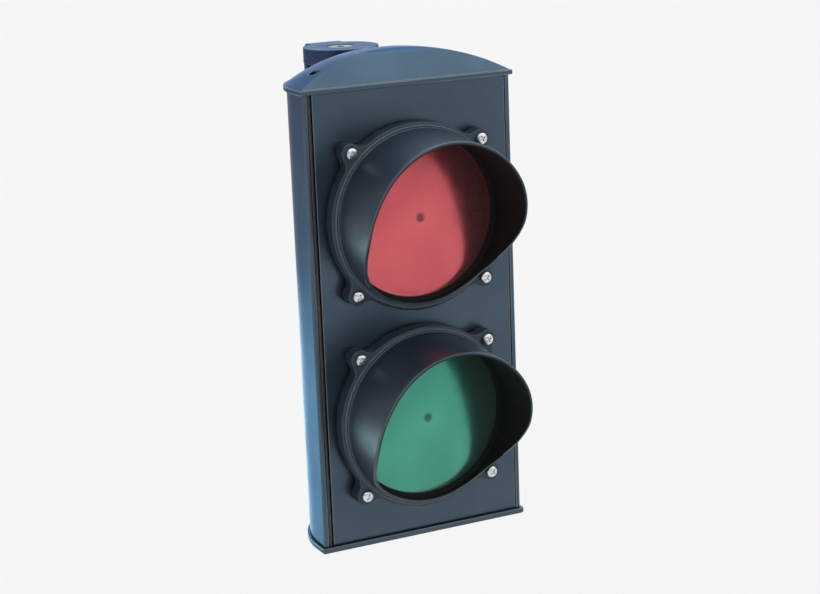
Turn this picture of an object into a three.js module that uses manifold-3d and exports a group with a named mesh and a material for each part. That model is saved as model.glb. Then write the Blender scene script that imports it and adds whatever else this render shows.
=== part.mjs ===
// Two-lamp traffic signal head on a C-shaped swivel bracket, as an assembly of separate pieces.
// Millimetres, +Z up. The lamps look along -Y, +X is to the right seen from the front.
// Every piece is placed in head coordinates: Y = 0 is the face of the front panel and Z = 0 is
// where the visible part of the panel starts. The whole group is then shifted so that the origin
// is the middle of the bracket's wall face.
import * as THREE from 'three';
import { mergeVertices } from 'three/addons/utils/BufferGeometryUtils.js';
import Module from 'manifold-3d';

const wasm = await Module();
wasm.setup();

// ---- driving dimensions -------------------------------------------------------------------
const GAP = 0.3; // clearance between pieces that touch
const PAST = 1; // how far a cutting tool runs past the face that it opens
const PANEL_HEIGHT = 325; // visible height between the two caps
const HALF_WIDTH = 80; // outside of the side walls
const DEPTH = 80; // panel face to the flat back of the housing
const FLANK_START = 12; // where the straight sides turn into the curved flanks
const FLANK_REACH = 84.4; // depth the flank curve would reach without the flat back
const RIDGE_PROUD = 1; // how far the side walls stand in front of the panel
const WALL = 2.5; // housing wall
const MID_Z = PANEL_HEIGHT / 2;

const TUCK = 1.5; // how far the housing ends reach into the caps
const CAP_OVERHANG = 2.3;
const CAP_LIP = 3.3; // height of the cap's straight edge
const CROWN = 20; // rise of the domed cap above its edge
const CROWN_POWER = 2.4; // how full the dome is towards its edge
const CROWN_CENTRE_Y = 30;
const CAP_WALL = 2.8;
const BOTTOM_CAP_THICK = 4.3;
const BOTTOM_OVERHANG = 2;
const GASKET = 0.9;
const GASKET_WIDTH = 2;

const LAMPS = [
  { name: 'red', z: 233.4, colour: 0xc4454f },
  { name: 'green', z: 87.2, colour: 0x3f9a74 },
];
const SCREW_OFFSET = 50.2; // half the side of the square of visor screws
const VISOR_REACH = 67;
const LENS_FLANGE_R = 63;
const LENS_RISE = 4;
const PIP = { r: 3.5, length: 4 }; // moulding boss at the middle of the lens
const PANEL_OPENING_R = 64;
const REFLECTOR_BACK = 38;

const SWIVEL_Y = 110; // the vertical swivel axis is at X = 0
const WALL_Y = 150; // wall face of the bracket
const BAR_THICK = 8;
const BAR_WIDTH = 26;
const EAR_R = 28;
const EAR_INNER = 168.5; // faces of each ear, measured from the middle of the head
const EAR_OUTER = 179.8;
const WALL_BOLT_R = 4.5;
const WALL_BOLT_OFFSET = 100;

const PORT_R = 4.5; // screw ports that run the length of the housing
const PORT_BORE_R = 2.3;
const FRONT_PORT = { x: 62, y: 16 };
const REAR_PORT = { x: 34, y: 68 };
const GLAND_Z = 80;

// Pan-head screws: head radius and height, shank radius and length under the head.
const CAP_SCREW = { head: 3.8, high: 2.4, shank: 1.9, length: 18 };
const VISOR_SCREW = { head: 4, high: 2.6, shank: 1.75, length: 21.5 };
const FOOT_SCREW = { head: 4.6, high: 3, shank: 2.4, length: 14 };

// ---- materials ----------------------------------------------------------------------------
const finish = (color, roughness, metalness, extra = {}) =>
  new THREE.MeshStandardMaterial({ color, roughness, metalness, ...extra });
const PAINT = () => finish(0x46525f, 0.45, 0.3);
const BLACK_PLASTIC = () => finish(0x22272d, 0.5, 0);
const BRACKET_PAINT = () => finish(0x191c20, 0.4, 0.3);
const RUBBER = () => finish(0x15171a, 0.85, 0);
const STAINLESS = () => finish(0xc9ccd0, 0.28, 1);
const YELLOW_ZINC = () => finish(0x9a8a45, 0.4, 0.9);
const WHITE_PLASTIC = () => finish(0xe6e6e0, 0.5, 0);
const BOARD_GREEN = () => finish(0x2c5b3f, 0.6, 0);
const GREY_PLASTIC = () => finish(0x8b8f92, 0.55, 0);
const CABLE_GREY = () => finish(0x5a5d60, 0.6, 0);

// ---- solid helpers ------------------------------------------------------------------------
// One closed body with merged corners, no collapsed triangles and its faces pointing out.
function closed(geometry) {
  const bare = geometry.clone();
  bare.deleteAttribute('normal');
  bare.deleteAttribute('uv');
  const merged = mergeVertices(bare, 1e-4);
  const index = merged.index.array;
  const position = merged.attributes.position;
  const corners = [new THREE.Vector3(), new THREE.Vector3(), new THREE.Vector3()];
  const kept = [];
  let volume = 0;
  for (let i = 0; i < index.length; i += 3) {
    const [a, b, c] = [index[i], index[i + 1], index[i + 2]];
    if (a === b || b === c || c === a) continue;
    kept.push(a, b, c);
    corners[0].fromBufferAttribute(position, a);
    corners[1].fromBufferAttribute(position, b);
    corners[2].fromBufferAttribute(position, c);
    volume += corners[0].dot(corners[1].cross(corners[2]));
  }
  if (volume < 0) kept.reverse();
  merged.setIndex(kept);
  return merged;
}

function toManifold(geometry) {
  const body = closed(geometry);
  return new wasm.Manifold(
    new wasm.Mesh({
      numProp: 3,
      vertProperties: new Float32Array(body.attributes.position.array),
      triVerts: new Uint32Array(body.index.array),
    }),
  );
}

function toGeometry(manifold) {
  const mesh = manifold.getMesh();
  const geometry = new THREE.BufferGeometry();
  geometry.setAttribute('position', new THREE.BufferAttribute(mesh.vertProperties, 3));
  geometry.setIndex(new THREE.BufferAttribute(mesh.triVerts, 1));
  geometry.computeVertexNormals();
  return geometry;
}

const join = (first, ...others) =>
  toGeometry(others.reduce((sum, g) => sum.add(toManifold(g)), toManifold(first)));
const cut = (body, ...tools) =>
  toGeometry(tools.reduce((sum, g) => sum.subtract(toManifold(g)), toManifold(body)));

const polygon = (points) => new THREE.Shape(points.map(([u, v]) => new THREE.Vector2(u, v)));

function disc(radius, x = 0, y = 0, bore = 0) {
  const shape = new THREE.Shape();
  shape.absarc(x, y, radius, 0, Math.PI * 2);
  if (bore > 0) {
    const hole = new THREE.Path();
    hole.absarc(x, y, bore, 0, Math.PI * 2, true);
    shape.holes.push(hole);
  }
  return shape;
}

const extrude = (shape, depth, curveSegments) =>
  new THREE.ExtrudeGeometry(shape, { depth, curveSegments, bevelEnabled: false });

// Prisms of an outline: standing (drawn in X,Y), facing the front (X,Z), or sideways (Y,Z).
const standing = (shape, low, high, segments = 10) =>
  extrude(shape, high - low, segments).translate(0, 0, low);

const facing = (shape, front, back, segments = 10) =>
  extrude(shape, back - front, segments)
    .rotateX(Math.PI / 2)
    .translate(0, back, 0);

const sideways = (shape, width, segments = 10) =>
  extrude(shape, width, segments)
    .applyMatrix4(
      new THREE.Matrix4().makeBasis(
        new THREE.Vector3(0, 1, 0),
        new THREE.Vector3(0, 0, 1),
        new THREE.Vector3(1, 0, 0),
      ),
    )
    .translate(-width / 2, 0, 0);

const block = (x, y, z) =>
  new THREE.BoxGeometry(x[1] - x[0], y[1] - y[0], z[1] - z[0]).translate(
    (x[0] + x[1]) / 2,
    (y[0] + y[1]) / 2,
    (z[0] + z[1]) / 2,
  );

// A body turned about the Y axis from [radius, y] points.
const turned = (profile, segments = 36) =>
  new THREE.LatheGeometry(
    profile.map(([r, y]) => new THREE.Vector2(r, y)),
    segments,
  );

// A closed profile that doesn't touch the axis.
const ring = (profile, segments = 36) => turned([...profile, profile[0]], segments);

// Rectangular ring section between two radii and two stations.
const tube = (inner, outer, low, high, segments = 28) =>
  ring(
    [
      [inner, low],
      [outer, low],
      [outer, high],
      [inner, high],
    ],
    segments,
  );

const hexagon = (radius) =>
  polygon(
    Array.from({ length: 6 }, (_, i) => [
      radius * Math.cos((i * Math.PI) / 3),
      radius * Math.sin((i * Math.PI) / 3),
    ]),
  );

// ---- fasteners ----------------------------------------------------------------------------
// Pan-head screw with its seat at y = 0, the head towards -Y and the shank towards +Y.
function panScrew({ head: headR, high, shank, length }) {
  const shoulder = { r: headR * 0.78, y: -high * 0.88 };
  const edge = -high * 0.45;
  return closed(
    turned(
      [
        [0, length],
        [shank, length - shank],
        [shank, 0],
        [headR, 0],
        [headR, edge],
        [shoulder.r, shoulder.y],
        [0, -high],
      ],
      10,
    ),
  );
}

const HEAD_UP = -Math.PI / 2;
const HEAD_DOWN = Math.PI / 2;

// ---- plan outline -------------------------------------------------------------------------
// Outline of the head seen from above, grown outwards by a margin. It always has the same number
// of points, so two of them can be joined by a skin.
function planOutline(grow = 0) {
  const frontSteps = 3;
  const flankSteps = 13;
  const corner = 1.6;
  const w = HALF_WIDTH + grow;
  const front = -RIDGE_PROUD - grow;
  const back = DEPTH + grow;
  const reach = FLANK_REACH + grow - FLANK_START;
  const end = Math.asin((back - FLANK_START) / reach);
  const half = [];
  for (let i = 0; i < frontSteps; i += 1) {
    half.push([((w - corner) * i) / frontSteps, front]);
  }
  for (let i = 0; i <= 2; i += 1) {
    const a = (i * Math.PI) / 4;
    half.push([w - corner + corner * Math.sin(a), front + corner - corner * Math.cos(a)]);
  }
  for (let i = 0; i <= flankSteps; i += 1) {
    const t = (end * i) / flankSteps;
    half.push([w * Math.cos(t), FLANK_START + reach * Math.sin(t)]);
  }
  half.push([0, back]);
  const mirrored = half
    .slice(1, -1)
    .reverse()
    .map(([x, y]) => [-x, y]);
  return [...half, ...mirrored];
}

const flankY = (x, inset) =>
  FLANK_START +
  (FLANK_REACH - inset - FLANK_START) * Math.sqrt(1 - (x / (HALF_WIDTH - inset)) ** 2);

// Skin through rings of equal length, closed by a middle point at each end.
function skin(rings, firstTip, lastTip) {
  const count = rings[0].length;
  const positions = [...rings.flat(2), ...firstTip, ...lastTip];
  const index = [];
  const firstIndex = rings.length * count;
  for (let i = 0; i < count; i += 1) {
    const next = (i + 1) % count;
    index.push(firstIndex, i, next);
    for (let r = 0; r < rings.length - 1; r += 1) {
      const a = r * count;
      const b = a + count;
      index.push(a + i, b + i, b + next, a + i, b + next, a + next);
    }
    const last = (rings.length - 1) * count;
    index.push(last + next, last + i, firstIndex + 1);
  }
  const geometry = new THREE.BufferGeometry();
  geometry.setAttribute('position', new THREE.Float32BufferAttribute(positions, 3));
  geometry.setIndex(index);
  return closed(geometry);
}

// ---- housing ------------------------------------------------------------------------------
const LEDGE = { y: 6, thick: 2.5, inner: 71.2 };
const RIDGE_WIDTH = 3.6;
const BACK_LAND = { x: 26, thick: 6 };
const HOUSING_LOW = -TUCK;
const HOUSING_HIGH = PANEL_HEIGHT + TUCK;
const ARM_SCREW = { x: 14, offset: 133.5, holeR: 2.9 };
const GLAND_R = 8;

// Open C section: ridge, ledge that holds the panel, thin flank, thick flat back.
function housingSection() {
  const inner = HALF_WIDTH - WALL;
  const outside = planOutline().filter(([x, y]) => y > 0 || Math.abs(x) > HALF_WIDTH - LEDGE.thick);
  const inside = [
    [HALF_WIDTH - RIDGE_WIDTH, -RIDGE_PROUD],
    [HALF_WIDTH - RIDGE_WIDTH, LEDGE.y],
    [LEDGE.inner, LEDGE.y],
    [LEDGE.inner, LEDGE.y + LEDGE.thick],
    [inner, LEDGE.y + LEDGE.thick],
    [inner, FLANK_START],
  ];
  const steps = 12;
  for (let i = 1; i <= steps; i += 1) {
    const x = BACK_LAND.x + (inner - BACK_LAND.x) * Math.cos((i * Math.PI) / 2 / steps);
    inside.push([x, Math.min(flankY(x, WALL), DEPTH - WALL)]);
  }
  inside.push([BACK_LAND.x, DEPTH - BACK_LAND.thick]);
  const leftInside = inside.map(([x, y]) => [-x, y]);
  return polygon([...outside, ...leftInside, ...inside.reverse()]);
}

function housing() {
  const low = HOUSING_LOW;
  const high = HOUSING_HIGH;
  const web = 1.2;
  const added = [];
  const holes = [];
  for (const side of [-1, 1]) {
    const front = { x: side * FRONT_PORT.x, y: FRONT_PORT.y };
    const rear = { x: side * REAR_PORT.x, y: REAR_PORT.y };
    const webEnds = [front.x, side * (HALF_WIDTH - WALL / 2)].sort((a, b) => a - b);
    added.push(block(webEnds, [front.y - web, front.y + web], [low, high]));
    added.push(block([rear.x - web, rear.x + web], [rear.y, DEPTH - WALL * 1.5], [low, high]));
    for (const port of [front, rear]) {
      added.push(standing(disc(PORT_R, port.x, port.y), low, high));
      holes.push(standing(disc(PORT_BORE_R, port.x, port.y), low - PAST, high + PAST, 6));
    }
    for (const end of [-1, 1]) {
      const z = MID_Z + end * ARM_SCREW.offset;
      const hole = disc(ARM_SCREW.holeR, side * ARM_SCREW.x, z);
      holes.push(facing(hole, DEPTH / 2, DEPTH + PAST, 6));
    }
  }
  holes.push(facing(disc(GLAND_R + GAP, 0, GLAND_Z), DEPTH / 2, DEPTH + PAST));
  return cut(join(standing(housingSection(), low, high), ...added), ...holes);
}

// ---- front panel --------------------------------------------------------------------------
const PANEL = { leftEdge: 72.6, rightEdge: 75.9, thick: 3, legIn: 68, legOut: 70.5, back: 11.5 };
const TOE = { x: 75, front: 9.2 };
const PANEL_SCREW_HOLE = 2.6;

// The right edge closes up to the ridge, the left edge leaves a groove for sliding the panel in.
function frontPanel() {
  const half = (edge) => [
    [edge, 0],
    [edge, PANEL.thick],
    [PANEL.legOut, PANEL.thick],
    [PANEL.legOut, TOE.front],
    [TOE.x, TOE.front],
    [TOE.x, PANEL.back],
    [PANEL.legIn, PANEL.back],
    [PANEL.legIn, PANEL.thick],
  ];
  const right = half(PANEL.rightEdge);
  const left = half(PANEL.leftEdge)
    .map(([x, y]) => [-x, y])
    .reverse();
  const holes = LAMPS.flatMap(({ z }) => [
    facing(disc(PANEL_OPENING_R, 0, z), -PAST, PANEL.thick + PAST, 28),
    ...screwSquare(z).map(([x, sz]) =>
      facing(disc(PANEL_SCREW_HOLE, x, sz), -PAST, PANEL.thick + PAST, 6),
    ),
  ]);
  return cut(standing(polygon([...right, ...left]), HOUSING_LOW, HOUSING_HIGH), ...holes);
}

function screwSquare(z) {
  const o = SCREW_OFFSET;
  return [
    [-o, z + o],
    [o, z + o],
    [o, z - o],
    [-o, z - o],
  ];
}

// Rubber cord lying in the groove between the panel edge and the side ridge.
function panelSeal(side) {
  const ends = [LEDGE.inner, HALF_WIDTH - RIDGE_WIDTH - GAP].map((x) => x * side);
  return block(
    ends.sort((a, b) => a - b),
    [PANEL.thick + GAP, LEDGE.y - GAP],
    [HOUSING_LOW, HOUSING_HIGH],
  );
}

// ---- caps ---------------------------------------------------------------------------------
const SEAT_INSET = 4;
const CAP_SEAT_Z = HOUSING_HIGH + GASKET + 2 * GAP;
const CAP_SCREW_SEAT = PANEL_HEIGHT + 6;
const CAP_SCREW_BORE = 2.4;
const CAP_SCREW_POCKET = 4.4;
const CAP_COLUMN_R = 6;
const PORTS = [-1, 1].flatMap((side) => [
  { name: side < 0 ? 'front_left' : 'front_right', x: side * FRONT_PORT.x, y: FRONT_PORT.y },
  { name: side < 0 ? 'rear_left' : 'rear_right', x: side * REAR_PORT.x, y: REAR_PORT.y },
]);

// Dome over an outline: rings shrink towards a centre while they rise along a power curve.
function dome(grow, edgeZ, rise, footZ, scales) {
  const outline = planOutline(grow);
  const at = (s, z) =>
    outline.map(([x, y]) => [x * s, CROWN_CENTRE_Y + (y - CROWN_CENTRE_Y) * s, z]);
  const rings = scales.map((s) => at(s, edgeZ + rise * (1 - s ** CROWN_POWER)));
  return skin(
    [...rings, at(1, footZ)],
    [0, CROWN_CENTRE_Y, edgeZ + rise],
    [0, CROWN_CENTRE_Y, footZ],
  );
}

function topCap() {
  const edge = PANEL_HEIGHT + CAP_LIP;
  const outer = toManifold(
    dome(CAP_OVERHANG, edge, CROWN, PANEL_HEIGHT, [0.2, 0.4, 0.58, 0.74, 0.88, 1]),
  );
  const innerRise = edge + CROWN - CAP_WALL - CAP_SEAT_Z;
  const hollow = toManifold(
    dome(-SEAT_INSET, CAP_SEAT_Z, innerRise, CAP_SEAT_Z - PAST, [0.3, 0.6, 0.85, 1]),
  );
  const socket = toManifold(
    standing(polygon(planOutline(GAP)), PANEL_HEIGHT - PAST, CAP_SEAT_Z),
  );
  let cap = outer.subtract(hollow).subtract(socket);
  const top = edge + CROWN;
  for (const { x, y } of PORTS) {
    const column = toManifold(standing(disc(CAP_COLUMN_R, x, y), HOUSING_HIGH + GAP, top, 8));
    const bore = toManifold(standing(disc(CAP_SCREW_BORE, x, y), PANEL_HEIGHT, top, 6));
    const pocket = toManifold(standing(disc(CAP_SCREW_POCKET, x, y), CAP_SCREW_SEAT, top, 8));
    cap = cap.add(column.intersect(outer)).subtract(bore).subtract(pocket);
  }
  return toGeometry(cap);
}

function bottomCap() {
  const seat = -(TUCK + GASKET + 2 * GAP);
  const low = -BOTTOM_CAP_THICK;
  const plate = standing(polygon(planOutline(BOTTOM_OVERHANG)), low, 0);
  const socket = standing(polygon(planOutline(GAP)), seat, PAST);
  const columns = PORTS.map(({ x, y }) => standing(disc(PORT_R, x, y), low, HOUSING_LOW - GAP, 8));
  const bores = PORTS.map(({ x, y }) => standing(disc(CAP_SCREW_BORE, x, y), low - PAST, PAST, 6));
  return cut(join(cut(plate, socket), ...columns), ...bores);
}

const capGasket = (low) =>
  cut(
    standing(polygon(planOutline()), low, low + GASKET),
    standing(polygon(planOutline(-GASKET_WIDTH)), low - PAST, low + GASKET + PAST),
  );

// ---- lamp unit ----------------------------------------------------------------------------
// The pieces of one lamp are drawn around the Y axis and placed at the height of the lamp.
const FLANGE = { front: -12, plateBack: -9, back: -1.8, r: 66.8, skirt: 2.2, earR: 7, holeR: 2.3 };
const VISOR = { baseR: 62.5, stepR: 64.6, rimR: 60, wall: 2.4, lipR: 57.8 };

// Side view of the visor's edge, as [reach, height]: long hood above, cut away below.
const VISOR_EDGE = [
  [-14.6, -68],
  [-15.4, -58],
  [-19, -46],
  [-30, -33],
  [-42, -21],
  [-57, 0],
  [-65.5, 30],
  [-VISOR_REACH, 50],
  [-VISOR_REACH, 68],
];

// Raised hollow ring with four screw pillars, and the tapered hood standing on it.
function visor() {
  const step = 1.4;
  const chamfer = 0.6;
  const body = ring(
    [
      [VISOR.lipR, FLANGE.plateBack],
      [FLANGE.r - FLANGE.skirt, FLANGE.plateBack],
      [FLANGE.r - FLANGE.skirt, FLANGE.back],
      [FLANGE.r, FLANGE.back],
      [FLANGE.r, FLANGE.front + chamfer],
      [FLANGE.r - chamfer, FLANGE.front],
      [VISOR.stepR, FLANGE.front],
      [VISOR.stepR, FLANGE.front - step],
      [VISOR.baseR + 0.4, FLANGE.front - step],
      [VISOR.baseR, FLANGE.front - 2 * step],
      [VISOR.rimR, -VISOR_REACH - PAST],
      [VISOR.rimR - VISOR.wall, -VISOR_REACH - PAST],
      [VISOR.baseR - VISOR.wall, FLANGE.front],
      [VISOR.lipR, FLANGE.front + chamfer],
    ],
    40,
  );
  const ears = screwSquare(0).map(([x, z]) =>
    facing(disc(FLANGE.earR, x, z), FLANGE.front, FLANGE.back, 8),
  );
  const holes = screwSquare(0).map(([x, z]) =>
    facing(disc(FLANGE.holeR, x, z), FLANGE.front - PAST, 0, 6),
  );
  const edge = new THREE.SplineCurve(VISOR_EDGE.map(([y, z]) => new THREE.Vector2(y, z)));
  const far = -VISOR_REACH - 10 * PAST;
  const cutter = new THREE.Shape([
    ...edge.getPoints(24),
    new THREE.Vector2(far, VISOR_EDGE.at(-1)[1]),
    new THREE.Vector2(far, VISOR_EDGE[0][1]),
  ]);
  return cut(join(body, ...ears), ...holes, sideways(cutter, 4 * FLANGE.r));
}

const flatRing = (inner, outer, front, back, earR, holeR) =>
  cut(
    join(
      tube(inner, outer, front, back, 32),
      ...screwSquare(0).map(([x, z]) => facing(disc(earR, x, z), front, back, 8)),
    ),
    ...screwSquare(0).map(([x, z]) => facing(disc(holeR, x, z), front - PAST, back + PAST, 6)),
  );

const VISOR_GASKET = { inner: 64.8, earR: 6.6, holeR: 2.5 };
const visorGasket = () =>
  flatRing(
    VISOR_GASKET.inner,
    FLANGE.r - GAP,
    FLANGE.back + GAP,
    -GAP,
    VISOR_GASKET.earR,
    VISOR_GASKET.holeR,
  );

const LENS = { front: FLANGE.plateBack + GAP, thick: 3, domeR: 57.3, wall: 2.6 };

function lens() {
  const steps = 4;
  const sag = (r, inset) => LENS.front + inset - LENS_RISE * (1 - (r / LENS.domeR) ** 2);
  const radii = Array.from({ length: steps + 1 }, (_, i) => (LENS.domeR * i) / steps);
  const outer = radii.map((r) => [r, sag(r, 0)]);
  const inner = radii
    .slice(1)
    .reverse()
    .map((r) => [r, sag(r, LENS.wall)]);
  const back = LENS.front + LENS.thick;
  const pipEnd = sag(0, LENS.wall) + PIP.length;
  return closed(
    turned([
      ...outer,
      [LENS_FLANGE_R, LENS.front],
      [LENS_FLANGE_R, back],
      [LENS.domeR, back],
      ...inner,
      [PIP.r, sag(PIP.r, LENS.wall)],
      [PIP.r, pipEnd],
      [0, pipEnd],
    ]),
  );
}

const SEAL = { inner: 58.5, front: LENS.front + LENS.thick + GAP, thick: 1.9 };
const SEAL_BACK = SEAL.front + SEAL.thick;
const lensSeal = () => closed(tube(SEAL.inner, LENS_FLANGE_R - GAP, SEAL.front, SEAL_BACK));

// Reflector bowl: a collar through the panel presses on the lens seal, a flange sits behind the
// panel and four blind bosses take the visor screws.
const REFLECTOR_SIDES = 24;
const COLLAR = { inner: 57.8, outer: 62.6 };
const REFLECTOR_FLANGE = { r: 66.5, front: PANEL.thick + 1.1, thick: 2 };
const BOSS = { r: 6.5, back: 12.5, boreR: 2.1, boreBack: 11 };
const BOWL_FLOOR = { hole: 6, front: 36.2 };
const BOWL_OUTSIDE = [
  [59.6, REFLECTOR_FLANGE.front + REFLECTOR_FLANGE.thick],
  [56.5, 15],
  [46, 28],
  [33, REFLECTOR_BACK],
  [BOWL_FLOOR.hole, REFLECTOR_BACK],
];
const BOWL_INSIDE = [
  [BOWL_FLOOR.hole, BOWL_FLOOR.front],
  [31, BOWL_FLOOR.front],
  [31, 34],
  [44.2, 26.8],
  [54.6, 14],
  [57.6, 4],
];

function reflector() {
  const { r, front, thick } = REFLECTOR_FLANGE;
  const bowl = ring(
    [
      [COLLAR.inner, SEAL_BACK + GAP],
      [COLLAR.outer, SEAL_BACK + GAP],
      [COLLAR.outer, front],
      [r, front],
      [r, front + thick],
      ...BOWL_OUTSIDE,
      ...BOWL_INSIDE,
    ],
    REFLECTOR_SIDES,
  );
  const bosses = screwSquare(0).map(([x, z]) =>
    facing(disc(BOSS.r, x, z), front, BOSS.back, 8),
  );
  const bores = screwSquare(0).map(([x, z]) =>
    facing(disc(BOSS.boreR, x, z), front - PAST, BOSS.boreBack, 6),
  );
  return cut(join(bowl, ...bosses), ...bores);
}

const BOARD = { r: 30, front: 34.3, back: BOWL_FLOOR.front - GAP };
const DIODE = { count: 8, circle: 18, wide: 2.6, narrow: 1.6, length: 3, sunk: 1 };

function ledBoard() {
  const board = turned(
    [
      [0, BOARD.back],
      [BOARD.r, BOARD.back],
      [BOARD.r, BOARD.front],
      [0, BOARD.front],
    ],
    20,
  );
  const domes = Array.from({ length: DIODE.count }, (_, i) => {
    const a = ((i + 0.5) * 2 * Math.PI) / DIODE.count;
    const diode = new THREE.CylinderGeometry(DIODE.wide, DIODE.narrow, DIODE.length, 8);
    return diode.translate(
      DIODE.circle * Math.cos(a),
      BOARD.front - DIODE.sunk,
      DIODE.circle * Math.sin(a),
    );
  });
  return join(board, ...domes);
}

const BLOCK = {
  x: 23,
  front: 60,
  low: MID_Z - 11,
  high: MID_Z + 11,
  ways: 4,
  screwR: 3,
  screwDeep: 4,
  slotHalf: 0.8,
  slotDeep: 3,
};
const LEAD_R = 2.4;
const LEAD_X = -12;

function lampLead(z) {
  const down = Math.sign(z - MID_Z);
  const end = down > 0 ? BLOCK.high + GAP : BLOCK.low - GAP;
  const curve = new THREE.CatmullRomCurve3(
    [
      [0, BOWL_FLOOR.front + 0.2, z],
      [0, 46, z],
      [-3, 57, z - down * 6],
      [-9, 65, z - down * 22],
      [LEAD_X, 67, end + down * 18],
      [LEAD_X, 67, end],
    ].map((p) => new THREE.Vector3(...p)),
  );
  return closed(
    new THREE.ExtrudeGeometry(disc(LEAD_R), { steps: 20, curveSegments: 4, extrudePath: curve }),
  );
}

function terminalBlock() {
  const back = DEPTH - BACK_LAND.thick - GAP;
  const front = BLOCK.front;
  const base = block([-BLOCK.x, BLOCK.x], [front, back], [BLOCK.low, BLOCK.high]);
  const pitch = (2 * BLOCK.x) / BLOCK.ways;
  const pockets = [];
  for (let i = 0; i < BLOCK.ways; i += 1) {
    const x = -BLOCK.x + pitch * (i + 0.5);
    pockets.push(facing(disc(BLOCK.screwR, x, MID_Z), front - PAST, front + BLOCK.screwDeep, 6));
  }
  for (let i = 1; i < BLOCK.ways; i += 1) {
    const x = -BLOCK.x + pitch * i;
    const slotX = [x - BLOCK.slotHalf, x + BLOCK.slotHalf];
    const slotY = [front - PAST, front + BLOCK.slotDeep];
    pockets.push(block(slotX, slotY, [BLOCK.low - PAST, BLOCK.high + PAST]));
  }
  return cut(base, ...pockets);
}

// ---- cable gland --------------------------------------------------------------------------
const GLAND = { bore: 6.4, thread: GLAND_R, hexR: 12, inside: 66, flangeBack: 85.3, outside: 93 };
const DOME_NUT = {
  r: 11.4,
  straight: 8,
  shoulderR: 9,
  shoulder: 12.5,
  mouthR: 5,
  length: 13.5,
  lip: 3.5,
};
const GLAND_SEAL = { inner: 3.6, front: 85 };
const LOCKNUT_THICK = 4;

function glandBody() {
  const face = DEPTH + GAP;
  const barrel = tube(GLAND.bore, GLAND.thread, GLAND.inside, GLAND.outside, 24);
  const flange = cut(
    facing(hexagon(GLAND.hexR), face, GLAND.flangeBack),
    facing(disc(GLAND.thread - GAP), face - PAST, GLAND.flangeBack + PAST, 12),
  );
  return join(barrel, flange);
}

function glandDomeNut() {
  const start = GLAND.flangeBack + GAP;
  const inner = GLAND.thread + GAP;
  const { r, straight, shoulderR, shoulder, mouthR, length, lip } = DOME_NUT;
  return closed(
    ring(
      [
        [inner, start],
        [r, start],
        [r, start + straight],
        [shoulderR, start + shoulder],
        [mouthR, start + length],
        [mouthR, GLAND.outside + lip],
        [inner, GLAND.outside + 2 * GAP],
      ],
      24,
    ),
  );
}

const glandSeal = () =>
  closed(tube(GLAND_SEAL.inner, GLAND.bore - GAP, GLAND_SEAL.front, GLAND.outside, 20));

function hexNut(cornerR, bore, low, high) {
  const hole = standing(disc(bore), low - PAST, high + PAST, 8);
  return cut(standing(hexagon(cornerR), low, high), hole);
}

const glandLocknut = () =>
  hexNut(GLAND.hexR, GLAND.thread + GAP, 0, LOCKNUT_THICK).rotateX(Math.PI / 2);

// ---- swivel bracket -----------------------------------------------------------------------
// Heights are measured from the middle of the head, so end = 1 is the upper joint, -1 the lower.
const PIVOT = {
  r: 5,
  bore: 5.5,
  hexR: 9.8,
  headR: 9.4,
  sunk: 0.4,
  cone: 4.4,
  socketR: 3.5,
  socket: 3.6,
  pastNut: 2,
};
const SERRATED = { inner: 6, outer: 22, thick: 2.7 };
const ARM = {
  discR: 26,
  thick: 12.7,
  footHalf: 22,
  footThick: 6,
  footEnd: 161.5,
  footStart: 121.5,
  neckHalf: 14,
  ribThick: 6,
  ribEnd: 14,
  ribStart: 125.5,
};
const WASHER = { r: 12, thick: 1.6 };
const NUT_HEIGHT = 8;
const ARM_OUTER = EAR_INNER - SERRATED.thick - 2 * GAP;
const ARM_INNER = ARM_OUTER - ARM.thick;
const NUT_SEAT = ARM_INNER - WASHER.thick - 2 * GAP;
const BAR_BEND = { outer: 8, inner: 6 };

const heights = (end, a, b) => [MID_Z + end * a, MID_Z + end * b].sort((p, q) => p - q);
const onAxis = (radius, bore = 0) => disc(radius, 0, SWIVEL_Y, bore);

// Cone under a countersunk head: its wide end is at the height wide, its narrow end further in.
const countersink = (end, wideR, narrowR, wide) =>
  new THREE.CylinderGeometry(
    end > 0 ? wideR : narrowR,
    end > 0 ? narrowR : wideR,
    PIVOT.cone,
    24,
  )
    .rotateX(Math.PI / 2)
    .translate(0, 0, MID_Z + end * (wide - PIVOT.cone / 2));

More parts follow.
